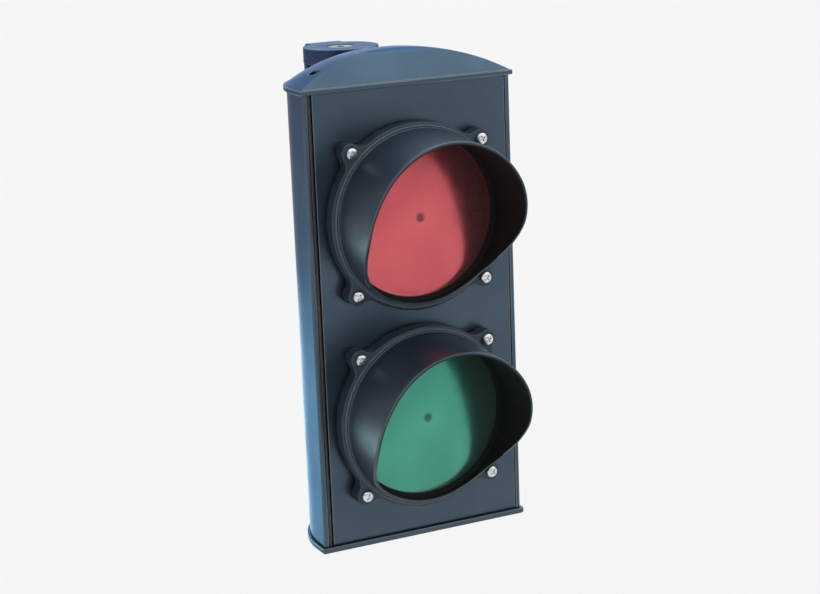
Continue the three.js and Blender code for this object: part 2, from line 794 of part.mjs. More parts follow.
function wallBracket() {
  const { outer, inner } = BAR_BEND;
  const top = MID_Z + EAR_OUTER;
  const low = MID_Z - EAR_OUTER;
  const front = WALL_Y - BAR_THICK;
  const side = new THREE.Shape();
  side.moveTo(SWIVEL_Y, top);
  side.lineTo(WALL_Y - outer, top);
  side.absarc(WALL_Y - outer, top - outer, outer, Math.PI / 2, 0, true);
  side.absarc(WALL_Y - outer, low + outer, outer, 0, -Math.PI / 2, true);
  side.lineTo(SWIVEL_Y, low);
  side.lineTo(SWIVEL_Y, low + BAR_THICK);
  side.absarc(front - inner, low + BAR_THICK + inner, inner, -Math.PI / 2, 0);
  side.absarc(front - inner, top - BAR_THICK - inner, inner, 0, Math.PI / 2);
  side.lineTo(SWIVEL_Y, top - BAR_THICK);
  const ears = [];
  const holes = [];
  for (const end of [-1, 1]) {
    ears.push(standing(onAxis(EAR_R), ...heights(end, EAR_INNER, EAR_OUTER), 20));
    const through = heights(end, EAR_INNER - PAST, EAR_OUTER - PAST);
    holes.push(standing(onAxis(PIVOT.bore), ...through, 8));
    const wideR = PIVOT.headR + 2 * GAP;
    holes.push(countersink(end, wideR, PIVOT.bore, EAR_OUTER - PIVOT.sunk).translate(0, SWIVEL_Y, 0));
    const mouth = heights(end, EAR_OUTER - PIVOT.sunk - GAP / 10, EAR_OUTER + PAST);
    holes.push(standing(onAxis(wideR), ...mouth, 12));
    const z = MID_Z + end * WALL_BOLT_OFFSET;
    holes.push(facing(disc(WALL_BOLT_R, 0, z), front - PAST, WALL_Y + PAST, 8));
  }
  return cut(join(sideways(side, BAR_WIDTH, 5), ...ears), ...holes);
}

function swivelArm(end) {
  const footBack = DEPTH + GAP + ARM.footThick;
  const foot = block(
    [-ARM.footHalf, ARM.footHalf],
    [DEPTH + GAP, footBack],
    heights(end, ARM.footStart, ARM.footEnd),
  );
  const hub = standing(onAxis(ARM.discR), ...heights(end, ARM_INNER, ARM_OUTER), 18);
  const neck = block(
    [-ARM.neckHalf, ARM.neckHalf],
    [footBack - PAST, SWIVEL_Y],
    heights(end, ARM_INNER, ARM.footEnd),
  );
  const rib = sideways(
    polygon([
      [footBack - PAST, MID_Z + end * ARM.ribStart],
      [footBack - PAST, MID_Z + end * (ARM_INNER + PAST)],
      [SWIVEL_Y - ARM.ribEnd, MID_Z + end * (ARM_INNER + PAST)],
    ]),
    ARM.ribThick,
  );
  const holes = [-1, 1].map((side) => {
    const z = MID_Z + end * ARM_SCREW.offset;
    return facing(disc(ARM_SCREW.holeR, side * ARM_SCREW.x, z), DEPTH, footBack + PAST, 6);
  });
  const through = heights(end, ARM_INNER - PAST, ARM_OUTER + PAST);
  const bore = standing(onAxis(PIVOT.bore), ...through, 8);
  return cut(join(foot, hub, neck, rib), ...holes, bore);
}

function serratedRing(end) {
  const [low, high] = heights(end, ARM_OUTER + GAP, EAR_INNER - GAP);
  return closed(standing(onAxis(SERRATED.outer, SERRATED.inner), low, high, 14));
}

function pivotWasher(end) {
  const [low, high] = heights(end, ARM_INNER - GAP - WASHER.thick, ARM_INNER - GAP);
  return closed(standing(onAxis(WASHER.r, PIVOT.r + GAP), low, high, 12));
}

// Countersunk bolt with a hexagon socket, flush in the ear, its nut on the inner side of the arm.
function pivotBolt(end) {
  const top = EAR_OUTER - PIVOT.sunk;
  const cone = countersink(end, PIVOT.headR, PIVOT.r, top);
  const tip = NUT_SEAT - NUT_HEIGHT - PIVOT.pastNut;
  const shank = standing(disc(PIVOT.r), ...heights(end, tip, top - PAST), 8);
  const socketHeights = heights(end, top - PIVOT.socket, top + PAST);
  const socket = standing(hexagon(PIVOT.socketR), ...socketHeights);
  return cut(join(cone, shank), socket).translate(0, SWIVEL_Y, 0);
}

function pivotNut(end) {
  const [low, high] = heights(end, NUT_SEAT - NUT_HEIGHT, NUT_SEAT);
  return hexNut(PIVOT.hexR, PIVOT.r + GAP, low, high).translate(0, SWIVEL_Y, 0);
}

// ---- assembly -----------------------------------------------------------------------------
const head = new THREE.Group();
const bracket = new THREE.Group();

function place(group, name, geometry, material, position = [0, 0, 0]) {
  const mesh = new THREE.Mesh(geometry, material);
  mesh.name = name;
  mesh.position.set(...position);
  group.add(mesh);
  return mesh;
}

place(head, 'housing_shell', housing(), PAINT());
place(head, 'front_panel', frontPanel(), PAINT());
place(head, 'panel_seal_left', panelSeal(-1), RUBBER());
place(head, 'panel_seal_right', panelSeal(1), RUBBER());
place(head, 'top_cap', topCap(), PAINT());
place(head, 'bottom_cap', bottomCap(), PAINT());
place(head, 'top_cap_gasket', capGasket(HOUSING_HIGH + GAP), RUBBER());
place(head, 'bottom_cap_gasket', capGasket(HOUSING_LOW - GAP - GASKET), RUBBER());

for (const { name, x, y } of PORTS) {
  const up = place(head, `top_cap_screw_${name}`, panScrew(CAP_SCREW), STAINLESS());
  up.position.set(x, y, CAP_SCREW_SEAT + GAP);
  up.rotation.x = HEAD_UP;
  const down = place(head, `bottom_cap_screw_${name}`, panScrew(CAP_SCREW), STAINLESS());
  down.position.set(x, y, -BOTTOM_CAP_THICK - GAP);
  down.rotation.x = HEAD_DOWN;
}

const SCREW_NAMES = ['top_left', 'top_right', 'bottom_right', 'bottom_left'];
for (const { name, z, colour } of LAMPS) {
  const at = [0, 0, z];
  const glass = finish(colour, 0.18, 0, { transparent: true, opacity: 0.9 });
  place(head, `${name}_visor`, visor(), BLACK_PLASTIC(), at);
  place(head, `${name}_visor_gasket`, visorGasket(), RUBBER(), at);
  place(head, `${name}_lens`, lens(), glass, at);
  place(head, `${name}_lens_seal`, lensSeal(), RUBBER(), at);
  place(head, `${name}_reflector`, reflector(), WHITE_PLASTIC(), at);
  place(head, `${name}_led_board`, ledBoard(), BOARD_GREEN(), at);
  place(head, `${name}_lamp_lead`, lampLead(z), CABLE_GREY());
  screwSquare(z).forEach(([x, sz], i) => {
    const screw = `${name}_visor_screw_${SCREW_NAMES[i]}`;
    const seat = [x, FLANGE.front - GAP, sz];
    place(head, screw, panScrew(VISOR_SCREW), STAINLESS(), seat);
  });
}

place(head, 'terminal_block', terminalBlock(), GREY_PLASTIC());
place(head, 'gland_body', glandBody(), BLACK_PLASTIC(), [0, 0, GLAND_Z]);
place(head, 'gland_dome_nut', glandDomeNut(), BLACK_PLASTIC(), [0, 0, GLAND_Z]);
place(head, 'gland_seal', glandSeal(), RUBBER(), [0, 0, GLAND_Z]);
const locknutBack = DEPTH - BACK_LAND.thick - GAP;
place(head, 'gland_locknut', glandLocknut(), BLACK_PLASTIC(), [0, locknutBack, GLAND_Z]);

place(bracket, 'wall_bracket', wallBracket(), BRACKET_PAINT());
for (const [level, end] of [
  ['upper', 1],
  ['lower', -1],
]) {
  place(head, `${level}_swivel_arm`, swivelArm(end), BRACKET_PAINT());
  place(bracket, `${level}_serrated_ring`, serratedRing(end), YELLOW_ZINC());
  place(bracket, `${level}_pivot_washer`, pivotWasher(end), YELLOW_ZINC());
  place(bracket, `${level}_pivot_bolt`, pivotBolt(end), YELLOW_ZINC());
  place(bracket, `${level}_pivot_nut`, pivotNut(end), YELLOW_ZINC());
  for (const [sideName, side] of [
    ['left', -1],
    ['right', 1],
  ]) {
    const screw = place(
      head,
      `${level}_arm_screw_${sideName}`,
      panScrew(FOOT_SCREW),
      STAINLESS(),
      [side * ARM_SCREW.x, DEPTH + 2 * GAP + ARM.footThick, MID_Z + end * ARM_SCREW.offset],
    );
    screw.rotation.z = Math.PI;
  }
}

const signalHead = new THREE.Group();
signalHead.add(head, bracket);
signalHead.position.set(0, -WALL_Y, -MID_Z);

export default signalHead;
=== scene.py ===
"""Looks of a two-lamp traffic signal head on its C-shaped swivel bracket, built round the frame.

Shapes are drawn in millimetres in head coordinates: X to the viewer's right, Y towards the wall,
Z up, with Y = 0 on the face of the front panel and Z = 0 where the visible panel starts.
"""

import math

import bmesh
import bpy
from mathutils import Matrix, Vector


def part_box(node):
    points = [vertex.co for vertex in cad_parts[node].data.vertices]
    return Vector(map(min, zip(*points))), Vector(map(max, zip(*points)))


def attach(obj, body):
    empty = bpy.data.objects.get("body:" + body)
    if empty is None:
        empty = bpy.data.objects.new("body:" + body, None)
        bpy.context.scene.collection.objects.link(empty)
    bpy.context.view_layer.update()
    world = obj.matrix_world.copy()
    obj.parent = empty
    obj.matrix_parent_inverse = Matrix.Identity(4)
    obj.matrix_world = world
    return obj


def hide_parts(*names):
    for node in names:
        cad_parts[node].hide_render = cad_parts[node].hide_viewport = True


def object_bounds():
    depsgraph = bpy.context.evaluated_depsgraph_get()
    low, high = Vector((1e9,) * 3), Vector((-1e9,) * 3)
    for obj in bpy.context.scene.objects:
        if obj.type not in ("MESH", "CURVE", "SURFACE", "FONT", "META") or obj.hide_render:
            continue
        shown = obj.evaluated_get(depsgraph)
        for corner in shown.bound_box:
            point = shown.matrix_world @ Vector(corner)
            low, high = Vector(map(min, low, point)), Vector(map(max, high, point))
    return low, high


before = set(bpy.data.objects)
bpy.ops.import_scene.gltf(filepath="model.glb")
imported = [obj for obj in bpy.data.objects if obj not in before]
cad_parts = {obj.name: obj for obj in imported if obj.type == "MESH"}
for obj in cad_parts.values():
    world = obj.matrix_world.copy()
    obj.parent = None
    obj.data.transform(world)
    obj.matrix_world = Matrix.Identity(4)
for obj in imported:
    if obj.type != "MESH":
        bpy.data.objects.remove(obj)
CAD_LOW, CAD_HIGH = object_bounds()

MM = 0.001
LAMPS = ("red", "green")
# Edges sharper than these many degrees are creases: on most meshes, and on those with flat faces.
SHARP_ANGLE = 35
CRISP_ANGLE = 20

# ---- sizes of the head, in mm --------------------------------------------------------------
PANEL_HEIGHT = 325
MID_Z = PANEL_HEIGHT / 2
TUCK = 1.5
HALF_WIDTH = 80
DEPTH = 80
FLANK_START = 12
FLANK_REACH = 84.4
RIDGE_PROUD = 1
RIDGE_IN = 76.4
WALL = 2.5
CAP_OVERHANG = 2.3
CAP_LIP = 3.3
CROWN = 20
CROWN_POWER = 2.4
CROWN_Y = 30
CAP_SEAT = 328
SCREW_SEAT = 331
BOTTOM_THICK = 4.3
BOTTOM_OVERHANG = 2
GAP = 0.3
PORTS = {"front": (62, 16), "rear": (34, 68)}
PORT = {"boss": 4.5, "bore": 2.3, "pocket": 4.4, "clearance": 2.4}
SIDES = {"left": -1, "right": 1}
ENDS = {"upper": 1, "lower": -1}
PANEL_OPENING = 64
SCREW_OFFSET = 50.2

# The frame's own boxes say where the head and its lamps are.
panel_low, panel_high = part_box("front_panel")
ORIGIN = Vector((0, panel_low.y, (panel_low.z + panel_high.z) / 2 - MID_Z * MM))


def lamp_height(lamp):
    """Height of a lamp's middle, in mm of the head."""
    low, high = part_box(f"{lamp}_lens")
    return (low.z + high.z) / 2 / MM - ORIGIN.z / MM


def axis_depth():
    """Depth of the swivel axis, in mm of the head."""
    low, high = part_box("upper_pivot_washer")
    return (low.y + high.y) / 2 / MM - ORIGIN.y / MM


# ---- mesh helpers --------------------------------------------------------------------------
def linked(name, data):
    """New object in the scene's collection."""
    obj = bpy.data.objects.new(name, data)
    bpy.context.scene.collection.objects.link(obj)
    return obj


def finish_mesh(build, name, sharp=SHARP_ANGLE):
    """Mesh from a bmesh drawn in millimetres: outward normals, smooth faces, sharp creases."""
    bmesh.ops.recalc_face_normals(build, faces=build.faces)
    mesh = bpy.data.meshes.new(name)
    build.to_mesh(mesh)
    build.free()
    mesh.polygons.foreach_set("use_smooth", [True] * len(mesh.polygons))
    mesh.set_sharp_from_angle(angle=math.radians(sharp))
    return mesh


def skin(name, rows, tips=(None, None), joined=False, sharp=SHARP_ANGLE):
    """Closed skin of quads through closed rows of points: its ends are closed by tips, or the
    last row is joined to the first."""
    build = bmesh.new()
    made = [[build.verts.new(p) for p in row] for row in rows]
    count = len(rows[0])
    pairs = list(zip(made, made[1:])) + ([(made[-1], made[0])] if joined else [])
    for a, b in pairs:
        for i in range(count):
            j = (i + 1) % count
            build.faces.new((a[i], a[j], b[j], b[i]))
    for tip, row in zip(tips, (made[0], made[-1])):
        if tip is None:
            continue
        point = build.verts.new(tip)
        for i in range(count):
            build.faces.new((row[i], row[(i + 1) % count], point))
    return finish_mesh(build, name, sharp)


AXES = {
    "Y": lambda r, h, a: (r * math.cos(a), h, r * math.sin(a)),
    "Z": lambda r, h, a: (r * math.cos(a), r * math.sin(a), h),
}


def turned(name, profile, steps, axis="Y"):
    """Solid of revolution from (radius, height) points; ends on the axis become tips."""
    at = AXES[axis]
    inner = [p for p in profile if p[0] > 1e-6]
    angles = [2 * math.pi * i / steps for i in range(steps)]
    rows = [[at(r, h, a) for a in angles] for r, h in inner]
    ends = [at(0, p[1], 0) if p[0] <= 1e-6 else None for p in (profile[0], profile[-1])]
    return skin(name, rows, ends, joined=ends == [None, None])


def prism(name, outline, low, high, axis="Z"):
    """Prism of a closed outline: standing on XY, facing along Y (drawn in XZ) or X (drawn in YZ)."""
    place = {
        "Z": lambda u, v, h: (u, v, h),
        "Y": lambda u, v, h: (u, h, v),
        "X": lambda u, v, h: (h, u, v),
    }[axis]
    build = bmesh.new()
    rings = [[build.verts.new(place(u, v, h)) for u, v in outline] for h in (low, high)]
    count = len(outline)
    for i in range(count):
        j = (i + 1) % count
        build.faces.new((rings[0][i], rings[0][j], rings[1][j], rings[1][i]))
    for one in rings:
        build.faces.new(one)
    return finish_mesh(build, name)


def circle(radius, x=0.0, y=0.0, steps=40):
    turn = 2 * math.pi / steps
    return [(x + radius * math.cos(i * turn), y + radius * math.sin(i * turn)) for i in range(steps)]


def box(name, x, y, z):
    outline = [(x[0], y[0]), (x[1], y[0]), (x[1], y[1]), (x[0], y[1])]
    return prism(name, outline, z[0], z[1])


def evaluated(mesh, set_up, sharp=SHARP_ANGLE):
    """The mesh after the modifiers that set_up puts on a passing object; with no sharp angle
    it keeps the normals that they give."""
    holder = linked("holder", mesh)
    set_up(holder)
    graph = bpy.context.evaluated_depsgraph_get()
    made = bpy.data.meshes.new_from_object(holder.evaluated_get(graph))
    bpy.data.objects.remove(holder)
    made.name = mesh.name
    if sharp is not None:
        made.polygons.foreach_set("use_smooth", [True] * len(made.polygons))
        made.set_sharp_from_angle(angle=math.radians(sharp))
    return made


def combined(mesh, others, operation):
    """Boolean of a mesh with several others, by the exact solver."""
    holders = [linked("tool", other) for other in others]

    def set_up(obj):
        for holder in holders:
            step = obj.modifiers.new("step", "BOOLEAN")
            step.operation = operation
            step.solver = "EXACT"
            step.object = holder

    made = evaluated(mesh, set_up)
    for holder in holders:
        bpy.data.objects.remove(holder)
    return made


def joined(mesh, *others):
    return combined(mesh, others, "UNION")


def carved(mesh, *others):
    return combined(mesh, others, "DIFFERENCE")


def common(mesh, other):
    return combined(mesh, [other], "INTERSECT")


def crisp(mesh):
    """Keeps a flat face flat-shaded beside its eased edges."""
    mesh.set_sharp_from_angle(angle=math.radians(CRISP_ANGLE))
    return mesh


def eased(mesh, width):
    """Rounds every sharp edge; the flats between stay flat-shaded."""

    def set_up(obj):
        step = obj.modifiers.new("ease", "BEVEL")
        step.width = width
        step.segments = 3
        step.limit_method = "ANGLE"
        step.angle_limit = math.radians(SHARP_ANGLE)
        step.use_clamp_overlap = True
        obj.modifiers.new("flats", "WEIGHTED_NORMAL")

    return evaluated(mesh, set_up, sharp=None)


def add(mats, node, mesh, body, slot, place=(0, 0, 0), turn=None):
    """Puts a mesh drawn in head millimetres into the row frame, riding a body in place of
    a CAD node. A mesh without a material gets the slot's."""
    obj = linked(f"{node}_detail", mesh)
    if not mesh.materials:
        mesh.materials.append(mats[slot])
    rotation = turn or Matrix.Identity(4)
    obj.matrix_world = (
        Matrix.Translation(ORIGIN + Vector(place) * MM) @ rotation @ Matrix.Scale(MM, 4)
    )
    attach(obj, body)
    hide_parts(node)


# ---- materials -----------------------------------------------------------------------------
def shader(name, roughness, **sockets):
    """New node material; the named Principled sockets get constant values."""
    material = bpy.data.materials.new(name)
    material.use_nodes = True
    tree = material.node_tree
    bsdf = next(n for n in tree.nodes if n.type == "BSDF_PRINCIPLED")
    bsdf.inputs["Roughness"].default_value = roughness
    for key, value in sockets.items():
        bsdf.inputs[key.replace("_", " ")].default_value = value
    return material, tree, bsdf


def noise(tree, size_mm, detail, stretch=(1, 1, 1), roughness=0.5):
    """Noise whose features are about size_mm across, in the object's own millimetres."""
    coords = tree.nodes.new("ShaderNodeTexCoord")
    mapping = tree.nodes.new("ShaderNodeMapping")
    mapping.inputs["Scale"].default_value = [s / size_mm for s in stretch]
    tree.links.new(coords.outputs["Object"], mapping.inputs["Vector"])
    pattern = tree.nodes.new("ShaderNodeTexNoise")
    pattern.inputs["Scale"].default_value = 1.0
    pattern.inputs["Detail"].default_value = detail
    pattern.inputs["Roughness"].default_value = roughness
    tree.links.new(mapping.outputs["Vector"], pattern.inputs["Vector"])
    return pattern.outputs["Fac"]


def ramp(tree, factor, stops):
    """Colour ramp through (position, colour) stops."""
    node = tree.nodes.new("ShaderNodeValToRGB")
    elements = node.color_ramp.elements
    while len(elements) < len(stops):
        elements.new(0.5)
    for element, (position, colour) in zip(elements, stops):
        element.position = position
        element.color = (*colour, 1)
    tree.links.new(factor, node.inputs["Fac"])
    return node.outputs["Color"]


def span(tree, factor, low, high, start=0.3, end=0.7):
    """Maps a factor between start and end onto low to high."""
    node = tree.nodes.new("ShaderNodeMapRange")
    for key, value in zip(("From Min", "From Max", "To Min", "To Max"), (start, end, low, high)):
        node.inputs[key].default_value = value
    tree.links.new(factor, node.inputs["Value"])
    return node.outputs["Result"]


def mixed(tree, factor, first, second):
    """Colour between a first and a second colour; each input is a value or a socket."""
    node = tree.nodes.new("ShaderNodeMix")
    node.data_type = "RGBA"
    colours = [s for s in node.inputs if s.type == "RGBA"]
    sockets = (node.inputs["Factor"], colours[0], colours[1])
    for socket, value in zip(sockets, (factor, first, second)):
        if isinstance(value, bpy.types.NodeSocket):
            tree.links.new(value, socket)
        else:
            socket.default_value = value if isinstance(value, float) else (*value, 1)
    return next(s for s in node.outputs if s.type == "RGBA")


def emboss(tree, bsdf, height, strength, distance_mm, under=None):
    """Bump from a height pattern, optionally on top of another bump."""
    node = tree.nodes.new("ShaderNodeBump")
    node.inputs["Strength"].default_value = strength
    node.inputs["Distance"].default_value = distance_mm * MM
    tree.links.new(height, node.inputs["Height"])
    if under is not None:
        tree.links.new(under, node.inputs["Normal"])
    tree.links.new(node.outputs["Normal"], bsdf.inputs["Normal"])
    return node.outputs["Normal"]


def rubbed_and_highlit_edges(tree, colour, wear_and_highlight, strength, width_mm):
    """Lighter colour along the edges, where a rounded normal leaves the true one: rubbed wear, and a
    painted highlight line along rims, lips and ridges.
    """
    geometry = tree.nodes.new("ShaderNodeNewGeometry")
    rounded = tree.nodes.new("ShaderNodeBevel")
    rounded.samples = 4
    rounded.inputs["Radius"].default_value = width_mm * MM
    match = tree.nodes.new("ShaderNodeVectorMath")
    match.operation = "DOT_PRODUCT"
    tree.links.new(geometry.outputs["Normal"], match.inputs[0])
    tree.links.new(rounded.outputs["Normal"], match.inputs[1])
    edge = span(tree, match.outputs["Value"], strength, 0.0, start=0.8, end=0.99)
    return mixed(tree, edge, colour, wear_and_highlight)


def painted(name, dark, base, light, wear_and_highlight, roughness, metallic, edge_tint, grain, grain_mm=1.1):
    """Coated metal: cloudy colour, dust, orange peel, and edges lightened by rubbed wear and a
    painted highlight.
    """
    material, tree, bsdf = shader(name, roughness, Metallic=metallic, Specular_Tint=edge_tint)
    clouds = ramp(tree, noise(tree, 60, 4), ((0.3, dark), (0.5, base), (0.72, light)))
    dust = span(tree, noise(tree, 2.2, 6, roughness=0.7), 0.0, 0.22, 0.55, 0.8)
    colour = mixed(tree, dust, clouds, light)
    # Edges lighter: rubbed paint, and a painted highlight line, as on the cap's lip and the
    # housing's ridges.
    tree.links.new(rubbed_and_highlit_edges(tree, colour, wear_and_highlight, 0.7, 1.4), bsdf.inputs["Base Color"])
    rough = span(tree, noise(tree, 18, 4), roughness - 0.03, roughness + 0.05)
    tree.links.new(rough, bsdf.inputs["Roughness"])
    peel = emboss(tree, bsdf, noise(tree, grain_mm, 2), grain, 0.03)
    emboss(tree, bsdf, noise(tree, 22, 1), grain * 0.4, 0.2, peel)
    return material


def moulded(name, dark, base, wear_and_highlight, roughness, specular=0.5, tint=(1, 1, 1, 1)):
    """Moulded plastic: fine spark-eroded grain, faint flow marks, and edges lightened by rubbed wear
    and a painted highlight.
    """
    material, tree, bsdf = shader(
        name, roughness, IOR=1.5, Specular_IOR_Level=specular, Specular_Tint=tint
    )
    pale = [1.3 * c for c in base]
    flow = ramp(
        tree, noise(tree, 26, 3, stretch=(1, 0.35, 1)), ((0.3, dark), (0.5, base), (0.75, pale))
    )
    # Edges lighter: rubbed plastic, and on the visor a painted highlight line along the rim and the
    # ring.
    tree.links.new(rubbed_and_highlit_edges(tree, flow, wear_and_highlight, 0.8, 1.2), bsdf.inputs["Base Color"])
    rough = span(tree, noise(tree, 9, 5, roughness=0.65), roughness - 0.03, roughness + 0.03)
    tree.links.new(rough, bsdf.inputs["Roughness"])
    emboss(tree, bsdf, noise(tree, 0.35, 2), 0.1, 0.03)
    return material


def metal(name, dark, base, light, roughness, pits=0.1):
    """Plated or bare metal: cloudy tone, mottled gloss and small pits."""
    material, tree, bsdf = shader(name, roughness, Metallic=1.0)
    tone = ramp(tree, noise(tree, 4, 5, roughness=0.6), ((0.3, dark), (0.5, base), (0.7, light)))
    tree.links.new(tone, bsdf.inputs["Base Color"])
    mottle = noise(tree, 0.6, 4)
    rough = span(tree, mottle, roughness - 0.08, roughness + 0.12)
    tree.links.new(rough, bsdf.inputs["Roughness"])
    emboss(tree, bsdf, mottle, pits, 0.03)
    return material


def rubber(name):
    """Matt black rubber with a dusty bloom."""
    material, tree, bsdf = shader(name, 0.45, IOR=1.5)
    bloom = ramp(
        tree,
        noise(tree, 3, 5),
        ((0.35, (0.022, 0.026, 0.03)), (0.6, (0.034, 0.04, 0.047)), (0.8, (0.07, 0.078, 0.085))),
    )
    tree.links.new(bloom, bsdf.inputs["Base Color"])
    emboss(tree, bsdf, noise(tree, 0.5, 3), 0.2, 0.04)
    return material


LENS_SPOT_MM = 4.2


def lens_material(name, deep, base, bright):
    """Coloured lens over a mirrored bowl: tinted reflection under a clear gloss, with the gate
    mark at its middle."""
    material, tree, bsdf = shader(
        name,
        0.2,
        Metallic=0.92,
        IOR=1.5,
        Coat_Weight=0.35,
        Coat_Roughness=0.12,
        Sheen_Weight=0.25,
        Sheen_Roughness=0.6,
    )
    tone = ramp(tree, noise(tree, 42, 1), ((0.25, deep), (0.5, base), (0.8, bright)))
    coords = tree.nodes.new("ShaderNodeTexCoord")
    flat = tree.nodes.new("ShaderNodeVectorMath")
    flat.operation = "MULTIPLY"
    flat.inputs[1].default_value = (1, 0, 1)
    tree.links.new(coords.outputs["Object"], flat.inputs[0])
    away = tree.nodes.new("ShaderNodeVectorMath")
    away.operation = "LENGTH"
    tree.links.new(flat.outputs["Vector"], away.inputs[0])
    spot = span(tree, away.outputs["Value"], 0.75, 0.0, LENS_SPOT_MM * 0.45, LENS_SPOT_MM)
    dark = [0.12 * c for c in deep]
    tree.links.new(mixed(tree, spot, tone, dark), bsdf.inputs["Base Color"])
    rough = span(tree, noise(tree, 7, 4), 0.18, 0.26)
    tree.links.new(rough, bsdf.inputs["Roughness"])
    emboss(tree, bsdf, noise(tree, 20, 1), 0.03, 0.15)
    return material


LENS_COLOURS = {
    "red": ((0.52, 0.07, 0.09), (0.6, 0.09, 0.11), (0.68, 0.115, 0.13)),
    "green": ((0.035, 0.24, 0.17), (0.042, 0.3, 0.21), (0.055, 0.37, 0.26)),
}


def for_metres(material):
    """Copy of a material for a mesh that is drawn in metres."""
    copy = material.copy()
    copy.name = f"{material.name}_in_metres"
    for node in copy.node_tree.nodes:
        if node.type == "MAPPING":
            scale = node.inputs["Scale"]
            scale.default_value = [s / MM for s in scale.default_value]
    return copy


def make_materials():
    """Every material: by its slot's name where new pieces are dressed in it."""
    made = {
        "painted_aluminium": painted(
            "painted_aluminium",
            dark=(0.056, 0.084, 0.112),
            base=(0.065, 0.096, 0.127),
            light=(0.077, 0.11, 0.144),
            # Edge colour: rubbed paint, made pale enough to paint a highlight line on the lip and
            # ridges.
            wear_and_highlight=(0.42, 0.45, 0.44),
            roughness=0.29,
            metallic=0.95,
            edge_tint=(0.45, 0.47, 0.58, 1),
            grain=0.08,
        ),
        "bracket_paint": painted(
            "bracket_powder_coat",
            dark=(0.028, 0.04, 0.08),
            base=(0.038, 0.054, 0.108),
            light=(0.055, 0.075, 0.14),
            wear_and_highlight=(0.13, 0.15, 0.19),
            roughness=0.28,
            metallic=0.7,
            edge_tint=(0.2, 0.27, 0.4, 1),
            grain=0.2,
            grain_mm=0.8,
        ),
        "visor_plastic": moulded(
            "visor_plastic",
            dark=(0.011, 0.016, 0.025),
            base=(0.015, 0.022, 0.035),
            # Edge colour: rubbed plastic, made pale enough to paint a highlight line on the hood's
            # rim and ring.
            wear_and_highlight=(0.24, 0.28, 0.31),
            roughness=0.38,
            tint=(0.66, 0.86, 1.0, 1),
        ),
        "hood_inside": moulded(
            "hood_inside",
            dark=(0.009, 0.0105, 0.0095),
            base=(0.011, 0.013, 0.0115),
            wear_and_highlight=(0.02, 0.02, 0.02),
            roughness=0.7,
            specular=0.06,
        ),
        "gland_plastic": moulded(
            "gland_plastic", (0.012, 0.013, 0.014), (0.02, 0.021, 0.023), (0.05, 0.065, 0.085), 0.42
        ),
        "terminal": moulded(
            "terminal_plastic", (0.2, 0.21, 0.22), (0.27, 0.28, 0.29), (0.36, 0.36, 0.36), 0.5
        ),
        "lead": moulded("lead_sheath", (0.07, 0.073, 0.076), (0.1, 0.104, 0.108), (0.15,) * 3, 0.55),
        "board": moulded(
            "circuit_board", (0.015, 0.07, 0.035), (0.02, 0.1, 0.05), (0.05, 0.18, 0.1), 0.4
        ),
        "bowl": moulded("reflector_plastic", (0.7, 0.7, 0.68), (0.78, 0.78, 0.76), (0.85,) * 3, 0.4),
        "stainless": metal(
            "stainless_screw", (0.55, 0.56, 0.57), (0.68, 0.69, 0.7), (0.8, 0.8, 0.8), 0.22
        ),
        "yellow_zinc": metal(
            "yellow_zinc",
            (0.17, 0.14, 0.05),
            (0.26, 0.22, 0.085),
            (0.36, 0.34, 0.18),
            0.36,
            pits=0.25,
        ),
        "rubber": rubber("seal_rubber"),
    }
    for lamp, (deep, base, bright) in LENS_COLOURS.items():
        made[f"{lamp}_lens"] = lens_material(f"{lamp}_lens_glass", deep, base, bright)
    return made


# ---- housing, panel and caps -----------------------------------------------------------------
def plan_outline(grow=0.0):
    """Outline of the head from above, grown by a margin; always the same number of points."""
    corner = 1.6
    front_steps, corner_steps, flank_steps, back_steps = 10, 6, 44, 5
    w = HALF_WIDTH + grow
    front = -RIDGE_PROUD - grow
    back = DEPTH + grow
    reach = FLANK_REACH + grow - FLANK_START
    end = math.asin((back - FLANK_START) / reach)
    half = [((w - corner) * i / front_steps, front) for i in range(front_steps)]
    for i in range(corner_steps + 1):
        a = math.pi / 2 * i / corner_steps
        half.append((w - corner + corner * math.sin(a), front + corner - corner * math.cos(a)))
    for i in range(flank_steps + 1):
        t = end * i / flank_steps
        half.append((w * math.cos(t), FLANK_START + reach * math.sin(t)))
    last = half[-1][0]
    half += [(last * (1 - i / back_steps), back) for i in range(1, back_steps + 1)]
    return half + [(-x, y) for x, y in reversed(half[1:-1])]


def flank_inside():
    """Inner face of the curved wall, from the straight side to the thick flat back."""
    inner = HALF_WIDTH - WALL
    land, steps = 26, 40
    points = []
    for i in range(1, steps + 1):
        x = land + (inner - land) * math.cos(math.pi / 2 * i / steps)
        y = FLANK_START + (FLANK_REACH - WALL - FLANK_START) * math.sqrt(1 - (x / inner) ** 2)
        points.append((x, min(y, DEPTH - WALL)))
    return points + [(land, DEPTH - 6)]


def housing_section():
    """Open C section with the front ridges and the ledges that hold the panel."""
    ease = 0.5
    ledge_y, ledge_in, ledge_thick = 6, 71.2, 2.5
    outside = [p for p in plan_outline() if p[1] > 0 or abs(p[0]) > HALF_WIDTH - ledge_thick]
    inside = [
        (RIDGE_IN + ease, -RIDGE_PROUD),
        (RIDGE_IN + ease * 0.3, -RIDGE_PROUD + ease * 0.3),
        (RIDGE_IN, -RIDGE_PROUD + ease),
        (RIDGE_IN, ledge_y),
        (ledge_in, ledge_y),
        (ledge_in, ledge_y + ledge_thick),
        (HALF_WIDTH - WALL, ledge_y + ledge_thick),
        (HALF_WIDTH - WALL, FLANK_START),
    ] + flank_inside()
    left = [(-x, y) for x, y in inside]
    return outside + left + inside[::-1]


ARM_SCREW = {"x": 14, "offset": 133.5, "hole": 2.9}
GLAND_Z = 80


